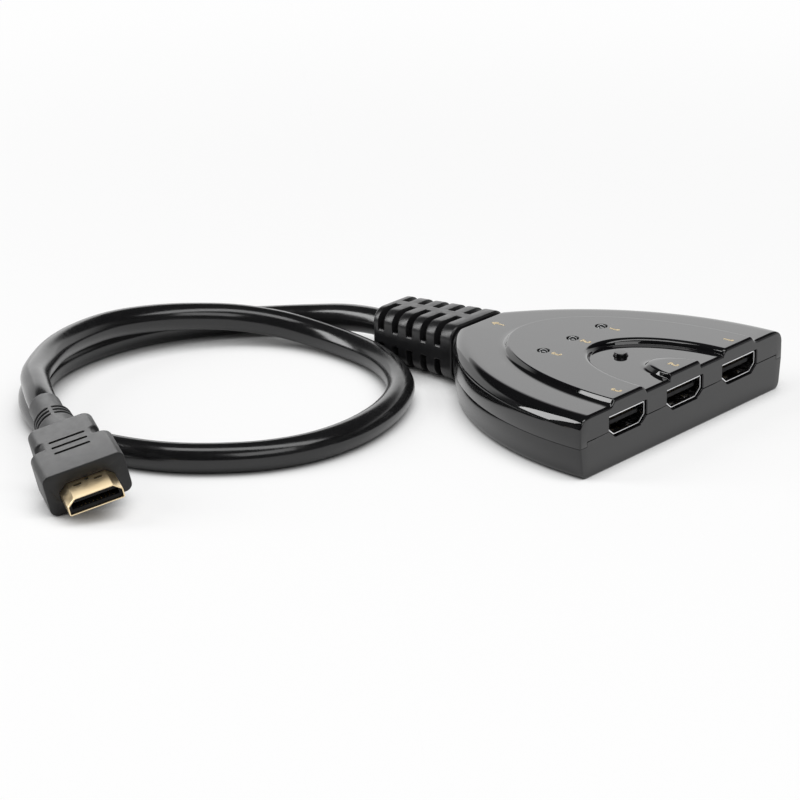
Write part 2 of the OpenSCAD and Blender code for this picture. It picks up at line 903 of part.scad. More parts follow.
module plug_shell() {
    color("#cda349")
        in_plug()
            difference() {
                translate([0, shell_seat, 0])
                    rotate([90, 180, 0])
                        linear_extrude(shell_seat + plug_reach)
                            difference() {
                                polygon(shell_outline(
                                    plug_shell_w, plug_shell_h, plug_shell_side, plug_shell_base, 0));
                                polygon(shell_outline(
                                    plug_shell_w, plug_shell_h, plug_shell_side, plug_shell_base, -plug_shell_t));
                            }
                for (s = [-1, 1])
                    translate([s * 2.6 - 1, -2.2, plug_shell_h / 2 - plug_shell_t - 0.2])
                        cube([2, 0.8, 1]);
                translate([-0.5, -1.2, plug_shell_h / 2 - plug_shell_t - 0.2])
                    cube([1, 1.2, 1]);
            }
}

// Moulded block in the plug shell with the slot that takes a socket's tongue
module plug_insert() {
    depth = shell_seat + plug_reach - 0.4;
    color("#101012")
        in_plug()
            difference() {
                translate([0, shell_seat, 0])
                    rotate([90, 180, 0])
                        linear_extrude(depth)
                            polygon(shell_outline(plug_shell_w, plug_shell_h, plug_shell_side,
                                plug_shell_base, -plug_shell_t - fit));
                translate([-tongue_w / 2 - 0.2, shell_seat - depth - 1, -tongue_t / 2 - 0.35])
                    cube([tongue_w + 0.4, depth - 2, tongue_t + 0.7]);
            }
}

// Two rows of strips on the walls of the plug's slot
module plug_contacts() {
    half_slot = tongue_t / 2 + 0.35;
    color("#d8b25a")
        in_plug()
            for (row = [0, 1])
                for (k = [0 : contact_n[row] - 1])
                    translate([
                        (k - (contact_n[row] - 1) / 2) * contact_pitch - contact_w / 2,
                        1 - plug_reach,
                        row == 0 ? -half_slot : half_slot - contact_t
                    ])
                        cube([contact_w, plug_reach, contact_t]);
}

top_cover();
bottom_case();
case_screws();
circuit_board();
switch_chip();
port_shell(-1);  // port_shell_1
port_shell(0);  // port_shell_2
port_shell(1);  // port_shell_3
port_insert(-1);  // port_insert_1
port_insert(0);  // port_insert_2
port_insert(1);  // port_insert_3
port_contacts(-1);  // port_contacts_1
port_contacts(0);  // port_contacts_2
port_contacts(1);  // port_contacts_3
indicator_lamp(-1);  // indicator_lamp_1
indicator_lamp(0);  // indicator_lamp_2
indicator_lamp(1);  // indicator_lamp_3
select_button();
switch_base();
switch_plate();
switch_dome();
cable_wires();
strain_relief();
cable();
plug_body();
plug_shell();
plug_insert();
plug_contacts();
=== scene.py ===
import math

import bmesh
import bpy
from mathutils import Matrix, Vector
from mathutils.geometry import delaunay_2d_cdt


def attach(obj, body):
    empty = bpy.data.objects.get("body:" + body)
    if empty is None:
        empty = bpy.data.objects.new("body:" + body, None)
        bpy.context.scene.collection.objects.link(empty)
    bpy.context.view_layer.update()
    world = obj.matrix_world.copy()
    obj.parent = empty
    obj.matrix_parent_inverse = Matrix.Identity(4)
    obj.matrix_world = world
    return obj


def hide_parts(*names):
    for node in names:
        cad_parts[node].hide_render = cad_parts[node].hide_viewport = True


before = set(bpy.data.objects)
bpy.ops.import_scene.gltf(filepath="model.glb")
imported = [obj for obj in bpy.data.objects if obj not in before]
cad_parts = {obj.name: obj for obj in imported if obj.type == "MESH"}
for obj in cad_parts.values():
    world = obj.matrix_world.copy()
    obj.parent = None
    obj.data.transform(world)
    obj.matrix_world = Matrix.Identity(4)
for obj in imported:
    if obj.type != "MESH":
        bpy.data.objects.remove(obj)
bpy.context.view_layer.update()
scene = bpy.context.scene
scene.view_settings.view_transform = "Standard"

# Lengths below are in millimetres and become metres in piece()
MM = 0.001

# Case
CASE_W, CASE_D, CABLE_FACE_W = 86.8, 67.0, 22.8
FRONT, REAR = -CASE_D / 2, CASE_D / 2
WIDEST_Y = FRONT + 2.0
CASE_H, RAISE = 16.1, 1.4
ARCH_TOP = CASE_H + RAISE
TOP_EDGE, FRONT_EDGE, REAR_EDGE, FOOT_EDGE = 3.4, 0.9, 1.6, 2.2
DRAFT = math.radians(7)
WALL, FLOOR_T, ROOF_Z = 2.2, 1.8, 14.1
SIDE_SEAM, FRONT_SEAM, SEAM_INSET, SEAM_GAP, SIDE_GAP = 8.3, 9.5, 2.8, 0.15, 0.06
# Rounding of the side seam, as (distance from the seam, inset), and bevel of the front seam
SEAM_ROUND, SEAM_BEVEL = ((0.0, 0.08), (0.025, 0.025), (0.08, 0.0)), 0.05
BOW_X, BOW_Y = (CASE_W - CABLE_FACE_W) / 2, REAR - WIDEST_Y
SIDE_R = (BOW_X ** 2 + BOW_Y ** 2) / (2 * BOW_X)
SIDE_X = SIDE_R - CASE_W / 2

# Half ellipses of the arch, the sunken middle and the tab: half width, reach
ARCH, SUNK, TAB = (30.2, 53.0), (16.9, 28.0), (6.4, 11.2)
# Runs of their steps, how far the tab's step spreads toward the rear, and points along each step
ARCH_RUN, SUNK_RUN, TAB_RUN, TAB_SPREAD = 1.2, 0.65, 0.2, 7.0
STEP_POINTS = {"arch": 96, "sunk": 72, "tab": 120}
# Soft bends out of the level top, at the foot of the arch and at the shoulder
SOFT_SLOPE = SHOULDER_BEND = math.radians(5)
SHOULDER_RUN = 1.3
SHOULDER_DROP = SHOULDER_RUN * math.tan(SHOULDER_BEND) / 2
# Smooth shading of the shells and of the other pieces breaks at these angles, in degrees
SHELL_ANGLE, PART_ANGLE = 28, 40

# Ports, lamps, button, screws
ROW = (-1, 0, 1)
PORT_PITCH, PORT_Z, PORT_Y = 24.0, 10.65, FRONT + 0.6
PORT_FORM = (15.0, 5.3, 3.45, 10.4)
LAMP_PITCH, LAMP_Y, LAMP_HOLE_R = 12.25, 2.5, 1.6
BUTTON_Y, BUTTON_HOLE_R = FRONT + 20.45, 1.9
HOLE_FLARE = 0.22
SCREWS = ((36.2, FRONT + 9), (15.5, REAR - 14.5))
SHEET_T = 0.32

# Boot and cable
BOOT_Y, BOOT_END, BOOT_Z, BOOT_END_Z = REAR + 0.8, REAR + 30.5, 8.5, 7.6
CABLE_D = 7.5
PLUG_AT = Vector((-132.8, 45.4, 7.5))
PLUG_TURN = (
    Matrix.Rotation(math.radians(-29), 3, "Z")
    @ Matrix.Rotation(math.radians(7.5), 3, "X")
    @ Matrix.Rotation(math.radians(-13.5), 3, "Y")
)
PLUG_LEN = 41.4
PLUG_FORM = (13.9, 4.4, 2.6, 9.8)


# Camera
def look():
    yaw, pitch, roll = (math.radians(a) for a in (-48.907, 20.432, -0.831))
    back = Vector((math.sin(yaw) * math.cos(pitch), -math.cos(yaw) * math.cos(pitch), math.sin(pitch)))
    right = Vector((math.cos(yaw), math.sin(yaw), 0))
    up = back.cross(right)
    level = math.cos(roll) * right + math.sin(roll) * up
    plumb = math.cos(roll) * up - math.sin(roll) * right
    data = bpy.data.cameras.new("camera")
    data.lens, data.sensor_width = 135, 36
    data.clip_start, data.clip_end = 0.01, 50
    camera = bpy.data.objects.new("camera", data)
    turn = Matrix((level, plumb, back)).transposed().to_4x4()
    camera.matrix_world = Matrix.Translation(Vector((-583.14, -446.37, 274.70)) * MM) @ turn
    scene.collection.objects.link(camera)
    scene.camera = camera


look()

# Cable, from the boot's narrow end to the plug's sleeve
ROUTE = [
    (0, 64, 7.6), (0, 72, 7.5), (-1, 81, 6.8), (-4, 91, 5.4), (-9.5, 101, 4.3), (-18, 110.5, 3.9),
    (-28.5, 117.5, 3.8), (-39.5, 122, 3.8), (-51.5, 124, 3.8), (-63.5, 123.5, 3.8), (-75, 120.5, 3.8),
    (-85.5, 114.5, 3.8), (-94.5, 106.5, 3.8), (-101.5, 96.5, 3.8), (-106, 85, 3.8), (-107.5, 73, 3.8),
    (-105.5, 61, 3.8), (-101, 49.5, 3.8), (-94, 40, 3.8), (-85, 32, 3.8), (-74, 27, 3.8),
    (-62, 25.5, 3.8), (-50, 27, 3.8), (-38.5, 31, 3.8), (-28, 37.5, 3.8), (-20.1, 46.5, 3.8),
    (-14.6, 57, 3.8), (-11.9, 69, 3.9), (-11.7, 81, 4.5), (-14.8, 92.5, 6), (-21.3, 102.5, 7.5),
    (-31, 110.5, 8.8), (-42.5, 116, 10), (-54.5, 118.5, 10.9), (-67, 117.5, 11.4), (-78.5, 114, 11.7),
    (-89, 108, 12), (-98.5, 100.5, 12.7), (-105.5, 92, 13.2),
]


def cable_line():
    ahead = PLUG_TURN @ Vector((0, -1, 0))
    knots = [Vector(p) for p in ROUTE] + [PLUG_AT - ahead * PLUG_LEN]
    last = len(knots) - 1
    spans = [(knots[i + 1] - knots[i]).length for i in range(last)]
    tangents = [Vector((0, 1, 0))]
    for i in range(1, last):
        a, b = spans[i - 1], spans[i]
        tangents.append(((knots[i] - knots[i - 1]) * b / a + (knots[i + 1] - knots[i]) * a / b) / (a + b))
    tangents.append(ahead)
    return knots, spans, tangents


def make_cable():
    knots, spans, tangents = cable_line()
    last = len(knots) - 1
    data = bpy.data.curves.new("output_cable", "CURVE")
    data.dimensions = "3D"
    data.bevel_depth = CABLE_D / 2 * MM
    data.bevel_resolution = 8
    data.resolution_u = 10
    data.use_fill_caps = True
    data.twist_mode = "MINIMUM"
    line = data.splines.new("BEZIER")
    line.bezier_points.add(last)
    for i, point in enumerate(line.bezier_points):
        point.handle_left_type = point.handle_right_type = "FREE"
        point.co = knots[i] * MM
        point.handle_left = (knots[i] - tangents[i] * spans[max(i - 1, 0)] / 3) * MM
        point.handle_right = (knots[i] + tangents[i] * spans[min(i, last - 1)] / 3) * MM
    length = 0
    for i in range(last):
        steps = [bezier(knots, spans, tangents, i, k / 24) for k in range(25)]
        length += sum((steps[k + 1] - steps[k]).length for k in range(24))
    made = bpy.data.objects.new("output_cable", data)
    scene.collection.objects.link(made)
    return made, length * MM


def bezier(knots, spans, tangents, i, s):
    a, d = knots[i], knots[i + 1]
    b = a + tangents[i] * spans[i] / 3
    c = d - tangents[i + 1] * spans[i] / 3
    return a * (1 - s) ** 3 + b * 3 * s * (1 - s) ** 2 + c * 3 * s * s * (1 - s) + d * s ** 3


cable, cable_length = make_cable()


# Node groups shared by the finishes
def group(name, inputs, outputs):
    tree = bpy.data.node_groups.new(name, "ShaderNodeTree")
    for label, value in inputs:
        tree.interface.new_socket(label, in_out="INPUT", socket_type="NodeSocketFloat").default_value = value
    for label in outputs:
        tree.interface.new_socket(label, in_out="OUTPUT", socket_type="NodeSocketFloat")
    return tree, tree.nodes.new("NodeGroupInput"), tree.nodes.new("NodeGroupOutput")


def node(tree, kind, **values):
    made = tree.nodes.new("ShaderNode" + kind)
    for key, value in values.items():
        if hasattr(made, key):
            setattr(made, key, value)
        else:
            made.inputs[key.replace("_", " ")].default_value = value
    return made


def math_node(tree, operation, a, b=None, clamp=False):
    made = tree.nodes.new("ShaderNodeMath")
    made.operation, made.use_clamp = operation, clamp
    for socket, value in zip(made.inputs, (a, b)):
        if value is None:
            continue
        if isinstance(value, (int, float)):
            socket.default_value = value
        else:
            tree.links.new(value, socket)
    return made.outputs[0]


def ramp(tree, source, low, high, to_low=0.0, to_high=1.0):
    made = node(tree, "MapRange", interpolation_type="SMOOTHSTEP")
    for label, value in (("From Min", low), ("From Max", high), ("To Min", to_low), ("To Max", to_high)):
        made.inputs[label].default_value = value
    tree.links.new(source, made.inputs["Value"])
    return made.outputs[0]


def cloud_group():
    tree, inside, out = group("uneven_tone", [("Scale", 60.0)], ["Tone", "Fine"])
    place = node(tree, "TexCoord").outputs["Object"]
    broad = node(tree, "TexNoise", Detail=4.0, Roughness=0.55)
    fine = node(tree, "TexNoise", Detail=2.0, Roughness=0.6)
    tree.links.new(place, broad.inputs["Vector"])
    tree.links.new(place, fine.inputs["Vector"])
    tree.links.new(inside.outputs["Scale"], broad.inputs["Scale"])
    tree.links.new(math_node(tree, "MULTIPLY", inside.outputs["Scale"], 9.0), fine.inputs["Scale"])
    tree.links.new(ramp(tree, broad.outputs["Fac"], 0.3, 0.7), out.inputs["Tone"])
    tree.links.new(ramp(tree, fine.outputs["Fac"], 0.25, 0.75), out.inputs["Fine"])
    return tree


def grain_group():
    tree, inside, out = group("moulded_grain", [("Scale", 3000.0), ("Speckle", 0.5)], ["Height"])
    place = node(tree, "TexCoord").outputs["Object"]
    pits = node(tree, "TexVoronoi", feature="SMOOTH_F1")
    dust = node(tree, "TexNoise", Detail=3.0)
    for made in (pits, dust):
        tree.links.new(place, made.inputs["Vector"])
    tree.links.new(inside.outputs["Scale"], pits.inputs["Scale"])
    tree.links.new(math_node(tree, "MULTIPLY", inside.outputs["Scale"], 1.7), dust.inputs["Scale"])
    rough = math_node(tree, "MULTIPLY", dust.outputs["Fac"], inside.outputs["Speckle"])
    tree.links.new(math_node(tree, "ADD", pits.outputs["Distance"], rough), out.inputs["Height"])
    return tree


def rub_group():
    tree, inside, out = group("rubbed_edges", [("Scale", 400.0), ("Start", 0.52), ("Full", 0.62)], ["Mask"])
    edge = node(tree, "NewGeometry").outputs["Pointiness"]
    broken = node(tree, "TexNoise", Detail=5.0, Roughness=0.7)
    tree.links.new(node(tree, "TexCoord").outputs["Object"], broken.inputs["Vector"])
    tree.links.new(inside.outputs["Scale"], broken.inputs["Scale"])
    near = node(tree, "MapRange")
    tree.links.new(edge, near.inputs["Value"])
    tree.links.new(inside.outputs["Start"], near.inputs["From Min"])
    tree.links.new(inside.outputs["Full"], near.inputs["From Max"])
    patchy = ramp(tree, broken.outputs["Fac"], 0.42, 0.62)
    tree.links.new(math_node(tree, "MULTIPLY", near.outputs[0], patchy, True), out.inputs["Mask"])
    return tree


def scratch_group():
    tree, inside, out = group("hairlines", [("Scale", 90.0), ("Amount", 0.5)], ["Mask"])
    place = node(tree, "TexCoord").outputs["Object"]
    masks = []
    for turn in (0.5, 1.9, 2.7):
        bent = node(tree, "Mapping")
        bent.inputs["Rotation"].default_value = (0.0, 0.0, turn)
        bent.inputs["Scale"].default_value = (1.0, 38.0, 1.0)
        lines = node(tree, "TexNoise", Detail=1.0)
        tree.links.new(place, bent.inputs["Vector"])
        tree.links.new(bent.outputs[0], lines.inputs["Vector"])
        tree.links.new(inside.outputs["Scale"], lines.inputs["Scale"])
        masks.append(ramp(tree, lines.outputs["Fac"], 0.70, 0.78))
    joined = math_node(tree, "MAXIMUM", math_node(tree, "MAXIMUM", masks[0], masks[1]), masks[2])
    tree.links.new(math_node(tree, "MULTIPLY", joined, inside.outputs["Amount"]), out.inputs["Mask"])
    return tree


UNEVEN, GRAIN, RUBBED, HAIRLINES = cloud_group(), grain_group(), rub_group(), scratch_group()


def place_group(tree, source, **values):
    made = tree.nodes.new("ShaderNodeGroup")
    made.node_tree = source
    for key, value in values.items():
        made.inputs[key].default_value = value
    return made


def blend(tree, factor, a, b):
    made = node(tree, "Mix", data_type="RGBA")
    tree.links.new(factor, made.inputs["Factor"])
    for socket, value in ((made.inputs[6], a), (made.inputs[7], b)):
        if isinstance(value, tuple):
            socket.default_value = (*value, 1)
        else:
            tree.links.new(value, socket)
    return made.outputs[2]


def finish(name, dark, light, rub, rough, tone=60.0, grain=3000.0, depth=0.004, bump=0.25,
           scratch=0.0, fixed=(), edge=(0.52, 0.62)):
    """A finish with uneven tone, moulded grain, rubbed edges and hairlines."""
    made = bpy.data.materials.new(name)
    made.use_nodes = True
    tree = made.node_tree
    shader = tree.nodes["Principled BSDF"]
    for label, value in fixed:
        shader.inputs[label].default_value = value
    uneven = place_group(tree, UNEVEN, Scale=tone)
    rubbed = place_group(tree, RUBBED, Start=edge[0], Full=edge[1])
    grains = place_group(tree, GRAIN, Scale=grain)
    colour = blend(tree, uneven.outputs["Tone"], dark, light)
    colour = blend(tree, rubbed.outputs["Mask"], colour, rub)
    tree.links.new(colour, shader.inputs["Base Color"])
    gloss = ramp(tree, uneven.outputs["Fine"], 0.0, 1.0, rough[0], rough[1])
    if scratch:
        hair = place_group(tree, HAIRLINES, Amount=scratch)
        gloss = math_node(tree, "ADD", gloss, math_node(tree, "MULTIPLY", hair.outputs["Mask"], 0.12), True)
    tree.links.new(gloss, shader.inputs["Roughness"])
    relief = node(tree, "Bump", Strength=bump, Distance=depth * MM)
    tree.links.new(grains.outputs["Height"], relief.inputs["Height"])
    tree.links.new(relief.outputs[0], shader.inputs["Normal"])
    return made


GLOSS = finish("gloss_black_shell", (0.004, 0.004, 0.0045), (0.007, 0.007, 0.0075), (0.02, 0.02, 0.02),
               (0.03, 0.05), tone=35, grain=700, depth=0.002, bump=0.03, scratch=0.25, fixed=[("IOR", 1.58)])
BOOT = finish("satin_black_boot", (0.008, 0.008, 0.0085), (0.014, 0.014, 0.015), (0.03, 0.03, 0.03),
              (0.28, 0.34), grain=2600, depth=0.006, bump=0.15)
JACKET = finish("cable_jacket", (0.008, 0.008, 0.0085), (0.012, 0.012, 0.0125), (0.02, 0.02, 0.02),
                (0.16, 0.20), grain=2600, depth=0.004, bump=0.025, scratch=0.04, fixed=[("IOR", 1.53)])
GRIP = finish("matte_black_grip", (0.010, 0.010, 0.0105), (0.014, 0.014, 0.0145), (0.02, 0.02, 0.02),
              (0.40, 0.46), grain=3400, depth=0.010, bump=0.3, fixed=[("IOR", 1.42)])
STEEL = finish("bright_plated_sheet", (0.68, 0.68, 0.69), (0.80, 0.80, 0.81), (0.9, 0.9, 0.9),
               (0.12, 0.24), grain=1800, depth=0.002, bump=0.1, scratch=0.6, fixed=[("Metallic", 1.0)])
GOLD = finish("gold_plated_sheet", (0.84, 0.66, 0.40), (0.92, 0.75, 0.48), (0.95, 0.82, 0.58),
              (0.28, 0.34), grain=1800, depth=0.002, bump=0.1, scratch=0.6, fixed=[("Metallic", 1.0)])
CONTACT = finish("plated_contacts", (0.70, 0.50, 0.20), (0.86, 0.64, 0.30), (0.9, 0.7, 0.4),
                 (0.18, 0.3), fixed=[("Metallic", 1.0)])
INSERT = finish("black_connector_block", (0.006, 0.006, 0.007), (0.010, 0.010, 0.011), (0.012, 0.012, 0.012),
                (0.35, 0.5), grain=2600, depth=0.008, fixed=[("IOR", 1.22)])
LAMP = finish("clear_cast_lamp", (0.045, 0.047, 0.05), (0.08, 0.083, 0.087), (0.3, 0.3, 0.3),
              (0.04, 0.08), grain=900, depth=0.002, bump=0.05,
              fixed=[("Coat Weight", 1.0), ("Coat Roughness", 0.02), ("Transmission Weight", 0.35)])
BUTTON = finish("black_push_button", (0.004, 0.004, 0.004), (0.007, 0.007, 0.007), (0.02, 0.02, 0.02),
                (0.10, 0.16), grain=3000, depth=0.004, bump=0.1)
INK = finish("gold_ink", (0.52, 0.40, 0.21), (0.60, 0.48, 0.28), (0.62, 0.50, 0.30),
             (0.35, 0.45), tone=900, grain=4000, depth=0.004)
SCREW = finish("plated_screw", (0.42, 0.42, 0.43), (0.58, 0.58, 0.60), (0.8, 0.8, 0.8),
               (0.25, 0.4), scratch=0.5, fixed=[("Metallic", 1.0)])
STAMPED = finish("stamped_steel", (0.50, 0.50, 0.51), (0.66, 0.66, 0.68), (0.8, 0.8, 0.8),
                 (0.3, 0.45), scratch=0.5, fixed=[("Metallic", 1.0)])
BOARD = finish("green_mask", (0.012, 0.07, 0.03), (0.02, 0.11, 0.05), (0.1, 0.2, 0.12), (0.25, 0.4))
CHIP = finish("moulded_chip", (0.012, 0.012, 0.014), (0.022, 0.022, 0.024), (0.06, 0.06, 0.06), (0.45, 0.6))
HOUSING = finish("switch_housing", (0.02, 0.02, 0.022), (0.035, 0.035, 0.038), (0.08, 0.08, 0.08), (0.4, 0.55))
SHEATH = finish("wire_sheath", (0.45, 0.43, 0.38), (0.6, 0.58, 0.52), (0.7, 0.7, 0.65), (0.35, 0.5))


# Mesh makers
def piece(name, verts, faces, material, angle=32):
    """Mesh object from points in millimetres."""
    data = bpy.data.meshes.new(name)
    data.from_pydata([Vector(v) * MM for v in verts], [], faces)
    made = bpy.data.objects.new(name, data)
    work = bmesh.new()
    work.from_mesh(data)
    bmesh.ops.remove_doubles(work, verts=work.verts, dist=1e-7)
    bmesh.ops.recalc_face_normals(work, faces=work.faces)
    work.to_mesh(data)
    work.free()
    dress(made, material, angle)
    scene.collection.objects.link(made)
    return made


def dress(made, material, angle=32):
    made.data.materials.clear()
    made.data.materials.append(material)
    made.data.shade_smooth()
    made.data.set_sharp_from_angle(angle=math.radians(angle))


def skin(rings, cap=True):
    """Faces over a row of closed rings with equal counts, and the points."""
    n = len(rings[0])
    verts = [p for ring in rings for p in ring]
    faces = [
        (j * n + i, j * n + (i + 1) % n, (j + 1) * n + (i + 1) % n, (j + 1) * n + i)
        for j in range(len(rings) - 1) for i in range(n)
    ]
    if cap:
        faces.append(tuple(range(n))[::-1])
        faces.append(tuple(range((len(rings) - 1) * n, len(rings) * n)))
    return verts, faces


def turned(profile, centre, n=48):
    """Rings of a profile of (radius, height) turned about an upright axis."""
    return [
        [(centre[0] + r * math.cos(a), centre[1] + r * math.sin(a), z)
         for a in (2 * math.pi * k / n for k in range(n))]
        for r, z in profile
    ]


def cut(target, *cutters):
    """Takes the cutters away from the target and removes them."""
    for cutter in cutters:
        take = target.modifiers.new("cut", "BOOLEAN")
        take.operation, take.solver, take.object = "DIFFERENCE", "EXACT", cutter
        settle(target)
        bpy.data.objects.remove(cutter)


def fuse(target, other):
    join = target.modifiers.new("join", "BOOLEAN")
    join.operation, join.solver, join.object = "UNION", "EXACT", other
    settle(target)
    bpy.data.objects.remove(other)


def settle(target):
    bpy.context.view_layer.update()
    seen = target.evaluated_get(bpy.context.evaluated_depsgraph_get())
    data = bpy.data.meshes.new_from_object(seen)
    target.modifiers.clear()
    old = target.data
    target.data = data
    bpy.data.meshes.remove(old)
    data.name = target.name


def arc(r, start, end, n):
    """Points on an arc about the origin, angles in degrees."""
    return [(r * math.cos(math.radians(start + (end - start) * k / n)),
             r * math.sin(math.radians(start + (end - start) * k / n))) for k in range(n + 1)]


def done(made, body, slot, *nodes):
    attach(made, body)
    if nodes:
        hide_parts(*nodes)
    return made


# Case outline
def step_offsets(run, foot, crown, soft=0.0):
    """Offsets and heights, from 0 to 1, across a sloped step with a rounded foot and crown.

    The level ground bends up to SOFT_SLOPE over the soft run in front of the foot.
    """
    slope = math.atan2(RAISE, run)
    bend = SOFT_SLOPE if soft else 0.0
    rise = soft * math.tan(bend) / 2
    ground = rise - foot * (1 - math.cos(bend))
    foot_x = (ground / RAISE - 0.5) * run - foot * math.tan(slope / 2)
    crown_x = run / 2 + crown * math.tan(slope / 2)
    degrees = math.degrees
    foot_arc = arc(foot, degrees(bend) - 90, degrees(slope) - 90, 7)
    points = [(foot_x + x, ground + foot + z) for x, z in foot_arc]
    start = points[0][0] - soft
    ramp_points = [(start + soft * u, rise * u * u) for u in (0.0, 0.25, 0.5, 0.75)] if soft else []
    points = ramp_points + points
    points += [(crown_x + x, RAISE - crown + z) for x, z in arc(crown, degrees(slope) + 90, 90, 7)]
    points = [(points[0][0] - 0.15, 0.0)] + points + [(points[-1][0] + 0.15, RAISE)]
    return [(x, z / RAISE) for x, z in points]


STEPS = {
    "arch": (ARCH, -1, step_offsets(ARCH_RUN, 1.5, 0.5, 1.4)),
    "sunk": (SUNK, 1, step_offsets(SUNK_RUN, 0.3, 1.6)),
    "tab": (TAB, -1, step_offsets(TAB_RUN, 0.25, 0.35)),
}


def front_reach(half_w, reach):
    return half_w * math.sqrt(1 - (FRONT_EDGE / reach) ** 2)


def step_rings():
    """Half-elliptic rings of the top: half width, reach, share of the rise, which step."""
    rings = []
    for which, ((half_w, reach), way, profile) in STEPS.items():
        rings += [(half_w + way * offset, reach + way * offset, share, which) for offset, share in profile]
    return rings


STEP_RINGS = step_rings()
FRONT_RISE = {0.0: RAISE}
for ring_w, ring_d, ring_share, ring_which in STEP_RINGS:
    for ring_side in (-1, 1):
        FRONT_RISE[round(ring_side * front_reach(ring_w, ring_d), 6)] = ring_share * RAISE
FRONT_X = sorted(FRONT_RISE)


def plan_ring(e_side, e_front, e_rear, c_front=0.5, c_rear=1.2, n_side=44, n_rear=6, n_corner=5):
    """Case outline drawn in by its own inset on the sides, the port face and the cable face."""
    r = SIDE_R - e_side
    y0, y1 = FRONT + e_front, REAR - e_rear
    corners = []
    for y, c in ((y0 + c_front, c_front), (y1 - c_rear, c_rear)):
        corners.append((-SIDE_X + math.sqrt((r - c) ** 2 - (y - WIDEST_Y) ** 2), y, c))
    (fx, fy, fc), (rx, ry, rc) = corners
    start = math.degrees(math.atan2(fy - WIDEST_Y, fx + SIDE_X))
    end = math.degrees(math.atan2(ry - WIDEST_Y, rx + SIDE_X))
    half = [(x, y0) for x in FRONT_X if x >= 0]
    reach = half[-1][0]
    half += [(reach + (fx - reach) * k / 4, y0) for k in range(1, 4)]
    half += [(fx + x, fy + y) for x, y in arc(fc, -90, start, n_corner)]
    half += [(-SIDE_X + x, WIDEST_Y + y) for x, y in arc(r, start, end, n_side)][1:-1]
    half += [(rx + x, ry + y) for x, y in arc(rc, end, 90, n_corner)]
    half += [(rx * (1 - k / n_rear), y1) for k in range(1, n_rear)]
    return half + [(0.0, y1)] + [(-x, y) for x, y in reversed(half[1:])]


def round_inset(r, height):
    """Inset of a rounded edge of radius r at a height below its top."""
    return 0.0 if height >= r else r - math.sqrt(max(r * r - (r - height) ** 2, 0))


def shoulder_inset(below):
    """Inset of the side's shoulder at a depth below the top: a round edge that flattens out softly."""
    rest = TOP_EDGE * math.cos(SHOULDER_BEND) - (below - SHOULDER_DROP)
    if below < SHOULDER_DROP:
        flat = SHOULDER_RUN * (1 - math.sqrt(below / SHOULDER_DROP))
        return TOP_EDGE * (1 - math.sin(SHOULDER_BEND)) + flat
    return 0.0 if rest <= 0 else TOP_EDGE - math.sqrt(TOP_EDGE ** 2 - rest ** 2)


def cover_ring(z, inset=0.0):
    below = max(CASE_H - z, 0.0)
    ring = plan_ring(shoulder_inset(below) + inset, round_inset(FRONT_EDGE, below) + inset,
                     round_inset(REAR_EDGE, below) + inset)
    lift = min(max((z - SIDE_SEAM - 1) / (CASE_H - FRONT_EDGE - SIDE_SEAM - 1), 0), 1)
    y0 = min(y for x, y in ring)
    return [(x, y, z + (lift * FRONT_RISE.get(round(x, 6), 0.0) if y < y0 + 1e-6 else 0)) for x, y in ring]


def cover_top(rim):
    """Points and triangles of the top inside the rim, with the arch, the sunken middle and the tab."""
    coords = [(x, y) for x, y, z in rim]
    heights = [z for x, y, z in rim]
    n = len(coords)
    edges = [(i, (i + 1) % n) for i in range(n)]
    y0 = FRONT + FRONT_EDGE
    index = {round(x, 6): i for i, (x, y) in enumerate(coords) if abs(y - y0) < 1e-6}
    for w, d, share, which in STEP_RINGS:
        count = STEP_POINTS[which]
        low = math.asin(FRONT_EDGE / d)
        before = index[round(front_reach(w, d), 6)]
        for k in range(1, count):
            t = low + (math.pi - 2 * low) * k / count
            # the tab's step is steep at the port face and runs out gently behind it
            spread = TAB_SPREAD * math.sin(t) ** 2 * (TAB[0] - w) if which == "tab" else 0.0
            x, y = (w - spread) * math.cos(t), FRONT + (d - spread) * math.sin(t)
            coords.append((x, y))
            heights.append(CASE_H + share * RAISE)
            edges.append((before, len(coords) - 1))
            before = len(coords) - 1
        edges.append((before, index[round(-front_reach(w, d), 6)]))
    # level rings round the lamp holes and the button's hole
    holes = [(i * LAMP_PITCH, LAMP_Y, LAMP_HOLE_R, ARCH_TOP) for i in (-1, 0, 1)]
    for hole_x, hole_y, hole_r, level in holes + [(0, BUTTON_Y, BUTTON_HOLE_R, CASE_H)]:
        for margin in (0.05, 0.3):
            first = len(coords)
            ring = arc(hole_r + HOLE_FLARE + margin, 0, 360, 56)[:-1]
            coords += [(hole_x + x, hole_y + y) for x, y in ring]
            heights += [level] * len(ring)
            edges += [(first + k, first + (k + 1) % len(ring)) for k in range(len(ring))]
    found = delaunay_2d_cdt([Vector(c) for c in coords], edges, [list(range(n))], 1, 1e-7)
    points = []
    for place, origin in zip(found[0], found[3]):
        z = heights[origin[0]] if origin else CASE_H
        points.append((place.x, place.y, z))
    return points, [tuple(f) for f in found[2]]


def make_cover():
    low = SIDE_SEAM + SIDE_GAP
    rings = [cover_ring(low + up, inset) for up, inset in SEAM_ROUND]
    centre = CASE_H - SHOULDER_DROP - TOP_EDGE * math.cos(SHOULDER_BEND)
    rings += [cover_ring(centre + TOP_EDGE * math.sin(math.radians(a))) for a in range(0, 85, 5)]
    rings += [cover_ring(CASE_H - SHOULDER_DROP * u * u) for u in (1.0, 0.8, 0.6, 0.4, 0.2, 0.0)]
    verts, faces = skin(rings, cap=False)
    n = len(rings[0])
    faces.append(tuple(range(n))[::-1])
    top, tris = cover_top(rings[-1])
    base = len(verts)
    faces += [tuple(base + i for i in f) for f in tris]
    return piece("upper_shell", verts + top, faces, GLOSS, SHELL_ANGLE)


